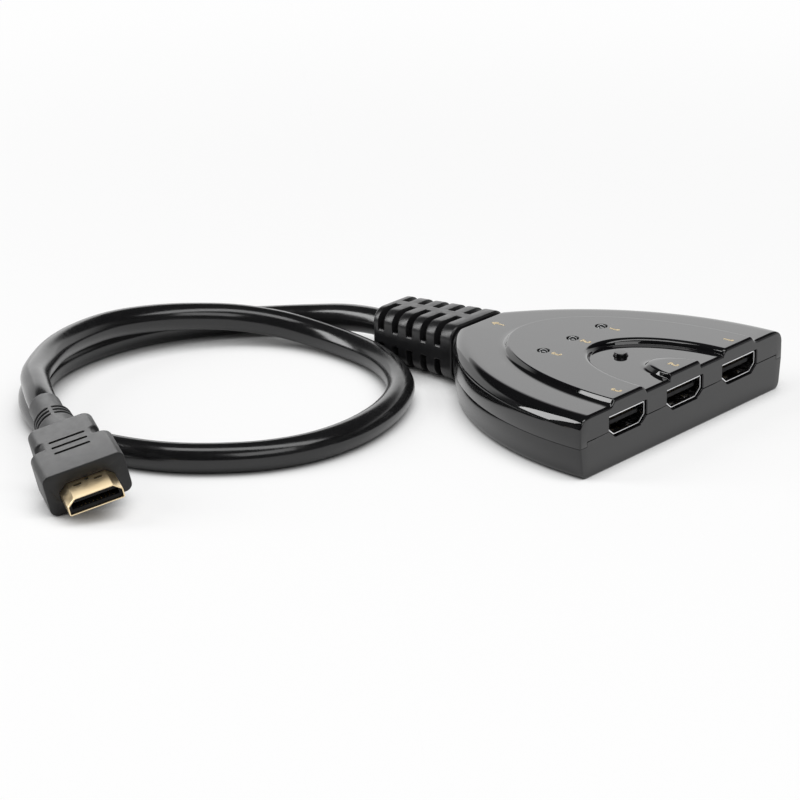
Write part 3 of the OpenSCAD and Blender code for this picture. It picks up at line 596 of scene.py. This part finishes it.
def prism(name, ring, low, high):
    verts, faces = skin([[(x, y, low) for x, y in ring], [(x, y, high) for x, y in ring]])
    return piece(name, verts, faces, GLOSS)


def inner_ring():
    return plan_ring(WALL, WALL, WALL, 0.8, 0.8)


def shell_outline(form, grow=0.0, corner=0.0, n=5):
    """Socket or plug outline, wide wall up, with rounded corners: points (x, z)."""
    w, h, side, base = form
    a, b = (w - base) / 2, h - side
    nx, nz = b / math.hypot(a, b), a / math.hypot(a, b)
    c = nx * w / 2 + nz * (side - h / 2) + grow
    x, z = w / 2 + grow, h / 2 + grow
    z_side, x_base = (nx * x - c) / nz, (c - nz * z) / nx
    points = [(-x, z), (-x, z_side), (-x_base, -z), (x_base, -z), (x, z_side), (x, z)]
    if corner <= 0:
        return points
    ring = []
    for i, p in enumerate(points):
        here = Vector(p)
        back = (Vector(points[i - 1]) - here).normalized()
        ahead = (Vector(points[(i + 1) % 6]) - here).normalized()
        half = back.angle(ahead) / 2
        pull, reach = corner / math.tan(half), corner / math.sin(half)
        centre = here + (back + ahead).normalized() * reach
        first, last = here + back * pull - centre, here + ahead * pull - centre
        turn = first.angle_signed(last)
        ring += [tuple(centre + Matrix.Rotation(-turn * k / n, 2) @ first) for k in range(n + 1)]
    return ring


def port_cutter(i):
    stages = [(FRONT + 4, 0.35), (FRONT + 0.1, 0.35), (FRONT, 0.45), (FRONT - 1, 1.45)]
    rings = [[(i * PORT_PITCH + x, y, PORT_Z + z) for x, z in shell_outline(PORT_FORM, grow, 0.45)]
             for y, grow in stages]
    return piece("cutter", *skin(rings), GLOSS)


def round_rect(w, h, r, n=6):
    """Rounded rectangle as points (x, z)."""
    ring = []
    for c, (sx, sz) in enumerate(((1, 1), (-1, 1), (-1, -1), (1, -1))):
        ring += [(sx * (w / 2 - r) + x, sz * (h / 2 - r) + z) for x, z in arc(r, 90 * c, 90 * c + 90, n)]
    return ring


def boot_cutter():
    ring = round_rect(15.3, 9.9, 2.15)
    rings = [[(x, y, BOOT_Z + z) for x, z in ring] for y in (REAR - 5, REAR + 1)]
    return piece("cutter", *skin(rings), GLOSS)


def hole_cutter(x, y, r, top, low, flare=HOLE_FLARE):
    profile = [(r, low), (r, top - flare)]
    profile += [(r + flare * (1 - math.cos(a)), top - flare * (1 - math.sin(a)))
                for a in (math.radians(k) for k in (18, 36, 54, 72, 90))]
    profile += [(r + flare, top + 3)]
    return piece("cutter", *skin(turned(profile, (x, y), 56)), GLOSS)


def bar(name, outline, x0, x1):
    """Bar along X with an outline of (y, z) points."""
    return piece(name, *skin([[(x, y, z) for y, z in outline] for x in (x0, x1)]), GLOSS)


upper = make_cover()
seam_half = CASE_W / 2 - SEAM_INSET
cut(upper, prism("cutter", inner_ring(), 0, ROOF_Z))
seam_y, seam_z = FRONT + WALL + SEAM_GAP, FRONT_SEAM + SEAM_GAP
front_gap = [(FRONT - 1, 0), (seam_y, 0), (seam_y, seam_z), (FRONT + SEAM_BEVEL, seam_z),
             (FRONT, seam_z + SEAM_BEVEL), (FRONT - 1, seam_z + SEAM_BEVEL + 1)]
cut(upper, bar("cutter", front_gap, -seam_half - SEAM_GAP, seam_half + SEAM_GAP))
for i in ROW:
    cut(upper, port_cutter(i), hole_cutter(i * LAMP_PITCH, LAMP_Y, LAMP_HOLE_R, ARCH_TOP, ROOF_Z - 2))
cut(upper, hole_cutter(0, BUTTON_Y, BUTTON_HOLE_R, CASE_H, ROOF_Z - 2), boot_cutter())
dress(upper, GLOSS, SHELL_ANGLE)
done(upper, "case", "case_gloss", "top_cover")


def make_lower():
    foot = (FOOT_EDGE + (SIDE_SEAM - FOOT_EDGE) * math.sin(DRAFT)) / math.cos(DRAFT)
    stages = []
    for k in range(9):
        a = math.radians(83 * k / 8)
        z = FOOT_EDGE * (1 - math.cos(a))
        stages.append((z, foot - FOOT_EDGE * math.sin(a)))
    top = SIDE_SEAM
    z_last, e_last = stages[-1]
    for down, chamfer in reversed(SEAM_ROUND):
        stages.append((top - down, e_last * down / (top - z_last) + chamfer))
    rings = []
    for z, e in stages:
        chamfer = e if z > top - 0.05 else 0
        rings.append([(x, y, z) for x, y in plan_ring(
            e, round_inset(0.5, z), round_inset(REAR_EDGE, z) + chamfer)])
    return piece("lower_shell", *skin(rings), GLOSS, SHELL_ANGLE)


lower = make_lower()
cut(lower, prism("cutter", inner_ring(), FLOOR_T, 20))
lip = FRONT + 0.004
ledge = [(lip, SIDE_SEAM - 1), (FRONT + WALL, SIDE_SEAM - 1), (FRONT + WALL, FRONT_SEAM),
         (lip + SEAM_BEVEL, FRONT_SEAM), (lip, FRONT_SEAM - SEAM_BEVEL)]
fuse(lower, bar("ledge", ledge, -seam_half, seam_half))
for i in ROW:
    cut(lower, port_cutter(i))
cut(lower, boot_cutter())
screw_hole = [(2.95, -1), (2.95, 0), (2.7, 0.25), (2.7, 2.4)]
for x, y in SCREWS:
    for s in (-1, 1):
        cut(lower, piece("cutter", *skin(turned(screw_hole, (s * x, y))), GLOSS))
dress(lower, GLOSS, SHELL_ANGLE)
done(lower, "case", "case_gloss", "bottom_case")


# Sockets
def sheet_stages(lip, seat):
    """Stages (y, growth of the outline) of a sheet, out along its inside and back along its outside."""
    outside = [(seat, 0), (lip + 0.4, 0), (lip + 0.1, 0), (lip + 0.03, -0.02), (lip, -0.1)]
    return [(y, -SHEET_T - grow) for y, grow in outside] + outside[::-1]


def sheet_skin(rings):
    """Points and faces of a sheet: the last ring joins the first."""
    verts, faces = skin(rings, cap=False)
    n = len(rings[0])
    last = (len(rings) - 1) * n
    return verts, faces + [(last + k, last + (k + 1) % n, (k + 1) % n, k) for k in range(n)]


def make_socket(i):
    depth = 11.0
    rings = []
    for y, grow in sheet_stages(PORT_Y, PORT_Y + depth):
        ring = shell_outline(PORT_FORM, grow, 0.55 + grow)
        rings.append([(i * PORT_PITCH + x, y, PORT_Z + z) for x, z in ring])
    verts, faces = sheet_skin(rings)
    # spring fingers pressed out of the narrow wall
    for x in (-3.0, 3.0):
        low = PORT_Z - PORT_FORM[1] / 2 + 0.4
        grid = []
        for y, rise in ((1.2, -0.05), (1.7, 0.2), (2.3, 0.32), (3.2, 0.26), (5.0, -0.05)):
            grid.append([(i * PORT_PITCH + x + dx, PORT_Y + y, low + rise - drop)
                         for dx, drop in ((-0.75, 0.12), (-0.55, 0), (0.55, 0), (0.75, 0.12))])
        base = len(verts)
        verts += [p for row in grid for p in row]
        faces += [(base + 4 * r + c, base + 4 * r + c + 1, base + 4 * r + c + 5, base + 4 * r + c + 4)
                  for r in range(4) for c in range(3)]
    return piece("socket_shell_%d" % (i + 2), verts, faces, STEEL, PART_ANGLE)


for i in ROW:
    done(make_socket(i), "case", "port_steel", "port_shell_%d" % (i + 2))


# Lamps and button
def make_lamp(i):
    r, top = 1.48, ARCH_TOP + 0.4
    profile = [(0.02, top)]
    profile += [(r * math.sin(a), top - r + r * math.cos(a)) for a in map(math.radians, range(6, 91, 6))]
    profile += [(r, 14.1), (1.9, 14.0), (1.9, 13.0), (0.02, 13.0)]
    return piece("lamp_%d" % (i + 2), *skin(turned(profile, (i * LAMP_PITCH, LAMP_Y), 40)), LAMP, 50)


for i in ROW:
    done(make_lamp(i), "case", "lamp_clear", "indicator_lamp_%d" % (i + 2))

button_top = CASE_H + 1.0
button_profile = [(0.02, button_top), (1.0, button_top), (1.42, button_top), (1.45, button_top)]
button_profile += [(1.45 + 0.3 * math.sin(a), button_top - 0.3 * (1 - math.cos(a)))
                   for a in map(math.radians, range(15, 91, 15))]
button_profile += [(1.75, 10.95), (2.3, 10.95), (2.3, 10.15), (0.02, 10.15)]
button = piece("push_button", *skin(turned(button_profile, (0, BUTTON_Y), 44)), BUTTON, 50)
done(button, "button", "button_black", "select_button")


# Boot
def soft_box(value, low, high, soft):
    """1 inside the range, 0 outside, with soft ends."""
    def ease(t):
        t = min(max(t, 0.0), 1.0)
        return t * t * (3 - 2 * t)
    return ease((value - low) / soft + 0.5) * ease((high - value) / soft + 0.5)


def make_boot():
    width, height, width_end, height_end, corner = 22.4, 15.4, 17.2, 14.6, 3.8
    slots = [BOOT_Y + 5.2 + 5.35 * k for k in range(5)]
    spine, deep, ramp_tall, ramp_deep, end_r = 1.6, 1.7, 0.52, 0.36, 0.6
    rows = {BOOT_Y + end_r, BOOT_END - end_r}
    for s in slots:
        for side in (-1, 1):
            rows |= {s + side * (1.0 + d) for d in (-0.34, -0.22, -0.12, -0.04, 0.04, 0.12, 0.22, 0.34)}
        rows.add(s)
    rows |= {(a + b) / 2 for a, b in zip(slots, slots[1:])}
    rows |= {BOOT_Y + 2.5, BOOT_Y + 4.2, BOOT_END - 1.4}
    rows = sorted(rows)
    n_corner, flat = 9, (0.0, 0.8, 1.4, 1.5, 1.6, 1.75, 2.05, 2.35, 2.42, 2.49, 2.57, 2.75)

    def slot_end(z):
        """Depth of a slot above its lower end: a short ramp, then the full depth."""
        over = abs(z) - spine
        if over <= ramp_tall:
            return ramp_deep * max(over, 0) / ramp_tall
        return ramp_deep + (deep - ramp_deep) * min((over - ramp_tall) / 0.22, 1)

    def section(y, inset, cuts):
        t = (y - BOOT_Y) / (BOOT_END - BOOT_Y)
        w = width + (width_end - width) * t - 2 * inset
        h = height + (height_end - height) * t - 2 * inset
        r = max(corner - inset, 0.5)
        quarter = [(w / 2, v) for v in flat if v < h / 2 - r - 0.05]
        if len(quarter) < len(flat):
            quarter.append((w / 2, h / 2 - r - (h / 2 - r - quarter[-1][1]) * 0.4))
        while len(quarter) < len(flat) + 1:
            quarter.append((w / 2, quarter[-1][1] + (h / 2 - r - quarter[-1][1]) * 0.5))
        quarter += [(w / 2 - r + x, h / 2 - r + z) for x, z in arc(r, 0, 90, n_corner)]
        over = [v for v in flat if v < w / 2 - r - 0.05]
        while len(over) < len(flat) + 1:
            over.append(over[-1] + (w / 2 - r - over[-1]) * 0.5)
        quarter += [(v, h / 2) for v in reversed(over)]
        ring = quarter[:-1]
        ring = ring + [(-x, z) for x, z in reversed(quarter)][:-1]
        ring = ring + [(-x, -z) for x, z in quarter][:-1]
        ring = ring + [(x, -z) for x, z in reversed(quarter)][:-1]
        points = []
        for x, z in ring:
            depth = 0.0
            if cuts > 0:
                open_side = 1 - soft_box(x, -spine, spine, 0.36)
                depth = cuts * open_side * slot_end(z)
            kx = (w / 2 - depth) / (w / 2)
            kz = (h / 2 - depth) / (h / 2)
            points.append((x * kx, y, BOOT_Z + (BOOT_END_Z - BOOT_Z) * t + z * kz))
        return points

    def round_end(y, way):
        """Rounded end of the boot, from the end face inward."""
        return [section(y + way * end_r * (1 - math.cos(a)), end_r * (1 - math.sin(a)), 0)
                for a in map(math.radians, (0, 22, 45, 67, 90))]

    rings = round_end(BOOT_Y, 1)
    for y in rows[1:-1]:
        cuts = max(soft_box(y, s - 1.0, s + 1.0, 0.5) for s in slots)
        rings.append(section(y, 0, cuts))
    rings += round_end(BOOT_END, -1)[::-1]
    made = piece("cable_boot", *skin(rings), BOOT, PART_ANGLE)
    neck = round_rect(15.0, 9.6, 2.0)
    rings = [[(x, y, BOOT_Z + z) for x, z in neck] for y in (REAR - WALL - 2, BOOT_Y + 1)]
    fuse(made, piece("throat", *skin(rings), BOOT))
    dress(made, BOOT, PART_ANGLE)
    return made


boot = make_boot()
done(boot, "case", "boot_matte", "strain_relief")


# Plug
def plug_place(x, y, z):
    return PLUG_TURN @ Vector((x, y, z)) + PLUG_AT


def make_plug():
    front_w, waist_w, rear_w, h, corner, front_r, length = 20.7, 14.4, 16.6, 11.3, 2.0, 0.35, 23.2
    neck_d, neck_end_d, neck_end = 10.8, 10.0, 33.2
    groove_half, groove_deep, spine = 0.375, 0.6, 0.75
    # stages of the block: distance, width, height, corner
    stages = []
    for a in map(math.radians, (0, 30, 60, 90)):
        inset = front_r * (1 - math.sin(a))
        stages.append((front_r * (1 - math.cos(a)), front_w - 2 * inset, h - 2 * inset, corner - inset))
    # waist with the top left level: distance, width
    waist = [(11.5, front_w), (11.8, 20.55), (12.0, 20.2), (12.15, 19.6), (12.25, 18.6), (12.3, 17.0),
             (12.4, 15.8), (12.6, 15.0), (12.9, 14.6), (13.4, waist_w), (14.9, waist_w), (15.3, 14.6),
             (15.6, 15.0), (15.75, 15.6), (15.9, 16.1), (16.1, 16.45), (16.4, rear_w)]
    stages += [(y, w, h, corner) for y, w in waist]
    for a in map(math.radians, (90, 70, 50, 30, 10)):
        back, inset = 0.9 * (1 - math.cos(a)), 1 - math.sin(a)
        stages.append((length - back, rear_w - 1.8 * inset, h - 0.4 * inset, corner))
    stages += [(length, 11.4, 10.9, 4.4), (23.4, 10.9, 10.9, 5.4), (23.7, neck_d, neck_d, 5.38)]
    rings = []
    for y, w, tall, r in stages:
        section = round_rect(w, tall, min(r, w / 2 - 0.01, tall / 2 - 0.01), 20)
        rings.append([plug_place(x, y, z) for x, z in section])
    # ringed neck and smooth sleeve
    grooves = [neck_end - 0.9 - 1.65 * k - groove_half for k in range(3)]
    rows = {24.4, 26.0, 27.2, 33.0}
    for g in grooves:
        for d in (0.22, 0.32, 0.38, 0.44, 0.55):
            rows |= {g - d, g + d}
        rows.add(g)
    base = round_rect(2, 2, 0.999, 20)
    for y in sorted(rows):
        d = neck_d + (neck_end_d - neck_d) * (y - length) / (neck_end - length)
        open_ring = max(soft_box(y, g - groove_half, g + groove_half, 0.25) for g in grooves)
        ring = []
        for x, z in base:
            keep = max(soft_box(v * d / 2, -spine, spine, 0.4) for v in (x, z))
            r = d / 2 - groove_deep * open_ring * (1 - keep)
            ring.append(plug_place(x * r, y, z * r))
        rings.append(ring)
    sleeve = [(33.15, 9.9), (neck_end, 9.7), (neck_end, 8.5), (33.3, 8.3), (33.5, 8.2), (41.0, 8.2),
              (41.3, 8.1), (PLUG_LEN, 7.9)]
    for y, d in sleeve:
        rings.append([plug_place(x * d / 2, y, z * d / 2) for x, z in base])
    made = piece("plug_grip", *skin(rings), GRIP, PART_ANGLE)
    pocket = [[plug_place(-x, y, -z) for x, z in shell_outline(PLUG_FORM, g, 0.5)]
              for y, g in ((7.0, 0.06), (0.12, 0.06), (0, 0.18), (-1, 1.18))]
    cut(made, piece("cutter", *skin(pocket), GRIP))
    line_y, line_pitch, line_deep = 9.1, 2.75, 0.45
    slot = round_rect(9.2, 0.9, 0.44, 5)
    for k in range(3):
        y = line_y + line_pitch * k
        rings = [[plug_place(u, y + v, z) for u, v in slot] for z in (h / 2 - line_deep, h / 2 + 1)]
        cut(made, piece("cutter", *skin(rings), GRIP))
    dress(made, GRIP, PART_ANGLE)
    return made


grip = make_plug()
done(grip, "case", "grip_matte", "plug_body")


def make_plug_shell():
    reach, seat = 7.4, 7.0
    rings = [[plug_place(-x, y, -z) for x, z in shell_outline(PLUG_FORM, grow, 0.5 + grow)]
             for y, grow in sheet_stages(-reach, seat)]
    made = piece("plug_sheet", *sheet_skin(rings), GOLD, PART_ANGLE)
    top = PLUG_FORM[1] / 2
    for x0, x1, y0, y1 in ((-3.6, -1.6, -2.2, -1.4), (1.6, 3.6, -2.2, -1.4), (-0.5, 0.5, -1.2, 0.0)):
        ring = [(x0, y0), (x1, y0), (x1, y1), (x0, y1)]
        rings = [[plug_place(x, y, z) for x, y in ring] for z in (top - SHEET_T - 0.2, top + 0.5)]
        cut(made, piece("cutter", *skin(rings), GOLD))
    dress(made, GOLD, PART_ANGLE)
    return made


done(make_plug_shell(), "case", "gold_plate", "plug_shell")


# Printed numbers and an arrow
def print_mark(name, ribbons, place):
    """Thin raised print from ribbons, each a row of cross lines (left, right) in the plane of the top."""
    verts, faces = [], []
    for k, ribbon in enumerate(ribbons):
        low, high = Vector((0, 0, -0.03)), Vector((0, 0, 0.02 + 0.003 * k))
        rings = []
        for left, right in ribbon:
            a, b = place @ Vector((*left, 0)), place @ Vector((*right, 0))
            rings.append([a + low, b + low, b + high, a + high])
        base = len(verts)
        more, cover = skin(rings)
        verts += more
        faces += [tuple(base + i for i in face) for face in cover]
    return done(piece(name, verts, faces, INK, 30), "case", "contact_gold")


def stroke(points, width):
    """Cross lines of a line of even width."""
    lines = []
    for i, p in enumerate(points):
        a, b = Vector(points[max(i - 1, 0)]), Vector(points[min(i + 1, len(points) - 1)])
        side = Vector((-(b - a).y, (b - a).x)).normalized() * width / 2
        lines.append((Vector(p) + side, Vector(p) - side))
    return lines


def bow(w, low, tall, start, end):
    """Points on a bow of a numeral, angles in degrees."""
    steps = [math.radians(start + (end - start) * k / 16) for k in range(17)]
    return [(w / 2 * math.cos(a), low + tall / 2 + tall / 2 * math.sin(a)) for a in steps]


def digit(number, tall, width):
    """Ribbons of a plain numeral, upright along +v."""
    w, half = tall * 0.55, width / 2
    if number == 1:
        lines = [[(0, 0), (0, tall)], [(-0.24 * tall, 0.76 * tall), (0, tall - half)]]
    elif number == 2:
        lines = [bow(w - width, tall * 0.46, tall * 0.54 - half, 170, -40) + [(half - w / 2, half)],
                 [(-w / 2, half), (w / 2, half)]]
    else:
        lines = [bow(w - width, tall * 0.5, tall * 0.5 - half, 160, -90),
                 bow(w - width, half, tall * 0.5 - half, 90, -160)]
    return [stroke(line, width) for line in lines]


def on_top(x, y, z, turn=180):
    return Matrix.Translation((x, y, z)) @ Matrix.Rotation(math.radians(turn), 4, "Z")


NUMBER_TALL, NUMBER_STROKE = 3.1, 0.7
LAMP_NUMBER_Y, PORT_NUMBER_Y, ARROW_Y = -0.2, -28.2, 27.4
# Half widths of the arrow along its length, from its tail to its tip
ARROW = ((-2.2, 0.3), (0.4, 0.3), (0.4, 1.3), (2.2, 0.02))
for i in ROW:
    number = 2 - i
    shape = digit(number, NUMBER_TALL, NUMBER_STROKE)
    print_mark("lamp_number_%d" % number, shape, on_top(i * LAMP_PITCH + 0.1, LAMP_NUMBER_Y, ARCH_TOP))
    print_mark("port_number_%d" % number, shape, on_top(i * PORT_PITCH, PORT_NUMBER_Y, ARCH_TOP))
arrow = [((-half, v), (half, v)) for v, half in ARROW]
print_mark("output_arrow", [arrow], on_top(0, ARROW_Y, CASE_H, 0))

# Cable finish
cable.data.materials.append(JACKET)
done(cable, "case", "jacket", "cable")

# CAD nodes that show as they are
KEPT = {
    "case_screws": SCREW, "circuit_board": BOARD, "switch_chip": CHIP, "switch_base": HOUSING,
    "switch_plate": STAMPED, "switch_dome": STAMPED, "cable_wires": SHEATH,
    "plug_insert": INSERT, "plug_contacts": CONTACT,
}
for i in (1, 2, 3):
    KEPT["port_insert_%d" % i] = INSERT
    KEPT["port_contacts_%d" % i] = CONTACT
for name, material in KEPT.items():
    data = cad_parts[name].data
    data.materials.clear()
    data.materials.append(material)


# Floor and light
def make_floor():
    data = bpy.data.meshes.new("floor")
    half = 4.0
    corners = [(-half, -half, 0), (half, -half, 0), (half, half, 0), (-half, half, 0)]
    data.from_pydata(corners, [], [(0, 1, 2, 3)])
    made = bpy.data.objects.new("floor", data)
    made.location = (-0.04, 0.04, 0)
    scene.collection.objects.link(made)
    material = bpy.data.materials.new("pale_floor")
    material.use_nodes = True
    tree = material.node_tree
    shader = tree.nodes["Principled BSDF"]
    shader.inputs["Base Color"].default_value = (0.95, 0.95, 0.95, 1)
    shader.inputs["Roughness"].default_value = 0.9
    shader.inputs["Specular IOR Level"].default_value = 0.0
    white = tree.nodes.new("ShaderNodeEmission")
    white.inputs["Color"].default_value = (1, 1, 1, 1)
    mixed = tree.nodes.new("ShaderNodeMixShader")
    path = tree.nodes.new("ShaderNodeLightPath")
    seen = math_node(tree, "MAXIMUM", path.outputs["Is Camera Ray"], path.outputs["Is Glossy Ray"])
    reach = node(tree, "VectorMath", operation="LENGTH")
    tree.links.new(node(tree, "TexCoord").outputs["Object"], reach.inputs[0])
    white_share = ramp(tree, reach.outputs["Value"], 0.12, 0.5, 0.70, 0.97)
    # Painted contact shadow: the white's strength falls with ambient occlusion within 9 mm of the pieces, so
    # camera and glossy rays see the floor darkened next to them
    corner = node(tree, "AmbientOcclusion", samples=6, Distance=0.009)
    tree.links.new(ramp(tree, corner.outputs["AO"], 0.12, 0.82), white.inputs["Strength"])
    tree.links.new(math_node(tree, "MULTIPLY", seen, white_share), mixed.inputs[0])
    tree.links.new(shader.outputs[0], mixed.inputs[1])
    tree.links.new(white.outputs[0], mixed.inputs[2])
    tree.links.new(mixed.outputs[0], tree.nodes["Material Output"].inputs["Surface"])
    data.materials.append(material)


def make_world():
    """White for the camera, a pale backdrop under a dark ceiling in reflections, dim even light otherwise."""
    world = bpy.data.worlds.new("studio")
    scene.world = world
    world.use_nodes = True
    tree = world.node_tree
    tree.nodes.clear()
    out = tree.nodes.new("ShaderNodeOutputWorld")
    path = tree.nodes.new("ShaderNodeLightPath")
    way = node(tree, "SeparateXYZ")
    tree.links.new(node(tree, "TexCoord").outputs["Generated"], way.inputs[0])
    toward_rear = math_node(tree, "ADD", math_node(tree, "MULTIPLY", way.outputs["X"], 0.57),
                            math_node(tree, "MULTIPLY", way.outputs["Y"], 0.82))
    backdrop = math_node(tree, "MULTIPLY", ramp(tree, toward_rear, -0.25, 0.35, 0.08, 1.0),
                         ramp(tree, way.outputs["Z"], 0.38, 0.47, 1.0, 0.02))
    backdrop = math_node(tree, "MULTIPLY", backdrop, ramp(tree, way.outputs["X"], -0.34, -0.12, 0.12, 1.0))
    mirror = tree.nodes.new("ShaderNodeBackground")
    tree.links.new(backdrop, mirror.inputs["Color"])
    soft = tree.nodes.new("ShaderNodeBackground")
    soft.inputs["Color"].default_value = (1, 1, 1, 1)
    soft.inputs["Strength"].default_value = 0.15
    white = tree.nodes.new("ShaderNodeBackground")
    white.inputs["Color"].default_value = (1, 1, 1, 1)
    bright = math_node(tree, "MAXIMUM", path.outputs["Is Glossy Ray"], path.outputs["Is Transmission Ray"])
    first, second = tree.nodes.new("ShaderNodeMixShader"), tree.nodes.new("ShaderNodeMixShader")
    tree.links.new(bright, first.inputs[0])
    tree.links.new(soft.outputs[0], first.inputs[1])
    tree.links.new(mirror.outputs[0], first.inputs[2])
    tree.links.new(path.outputs["Is Camera Ray"], second.inputs[0])
    tree.links.new(first.outputs[0], second.inputs[1])
    tree.links.new(white.outputs[0], second.inputs[2])
    tree.links.new(second.outputs[0], out.inputs["Surface"])


def softbox(name, place, aim, size, radiance, spin=0.0, only=()):
    """Soft panel at a place in metres, facing its aim and turned about that line by spin degrees.

    A panel with only lights just the pieces named there.
    """
    data = bpy.data.lights.new(name, "AREA")
    data.shape = "RECTANGLE"
    data.size, data.size_y = size
    data.energy = radiance * math.pi * size[0] * size[1]
    made = bpy.data.objects.new(name, data)
    made.location = place
    made.rotation_mode = "QUATERNION"
    turn = (Vector(place) - Vector(aim)).to_track_quat("Z", "Y")
    made.rotation_quaternion = turn @ Matrix.Rotation(math.radians(spin), 3, "Z").to_quaternion()
    scene.collection.objects.link(made)
    if only:
        lit = bpy.data.collections.new(name + "_lit")
        for lit_name in only:
            lit.objects.link(bpy.data.objects[lit_name])
        made.light_linking.receiver_collection = lit


def toward(azimuth, elevation, distance):
    """Point at a distance from the origin, azimuth from +X towards +Y."""
    a, e = math.radians(azimuth), math.radians(elevation)
    return Vector((math.cos(a) * math.cos(e), math.sin(a) * math.cos(e), math.sin(e))) * distance


make_floor()
make_world()
MIDDLE = (0, 0, 0)
softbox("softbox_left_rear", toward(127.75, 29, 1.3), MIDDLE, (0.377, 1.0), 7.5)
softbox("softbox_overhead", (0.02, -0.28, 0.9), (0.02, -0.28, 0), (1.25, 0.34), 4.0, -60)
softbox("softbox_front", toward(-115, 38, 1.5), MIDDLE, (1.0, 0.6), 2.5)
softbox("glow_behind", toward(41, 14, 1.6), MIDDLE, (1.5, 0.6), 0.5)
PLUG_PANEL, PLUG_FRONT = (0.214, 0.727, 0.919), (-0.136, 0.04, 0)
for lit_piece, radiance in (("plug_grip", 4.2), ("plug_sheet", 1.4)):
    softbox("softbox_" + lit_piece, PLUG_PANEL, PLUG_FRONT, (1.1, 1.1), radiance, only=(lit_piece,))
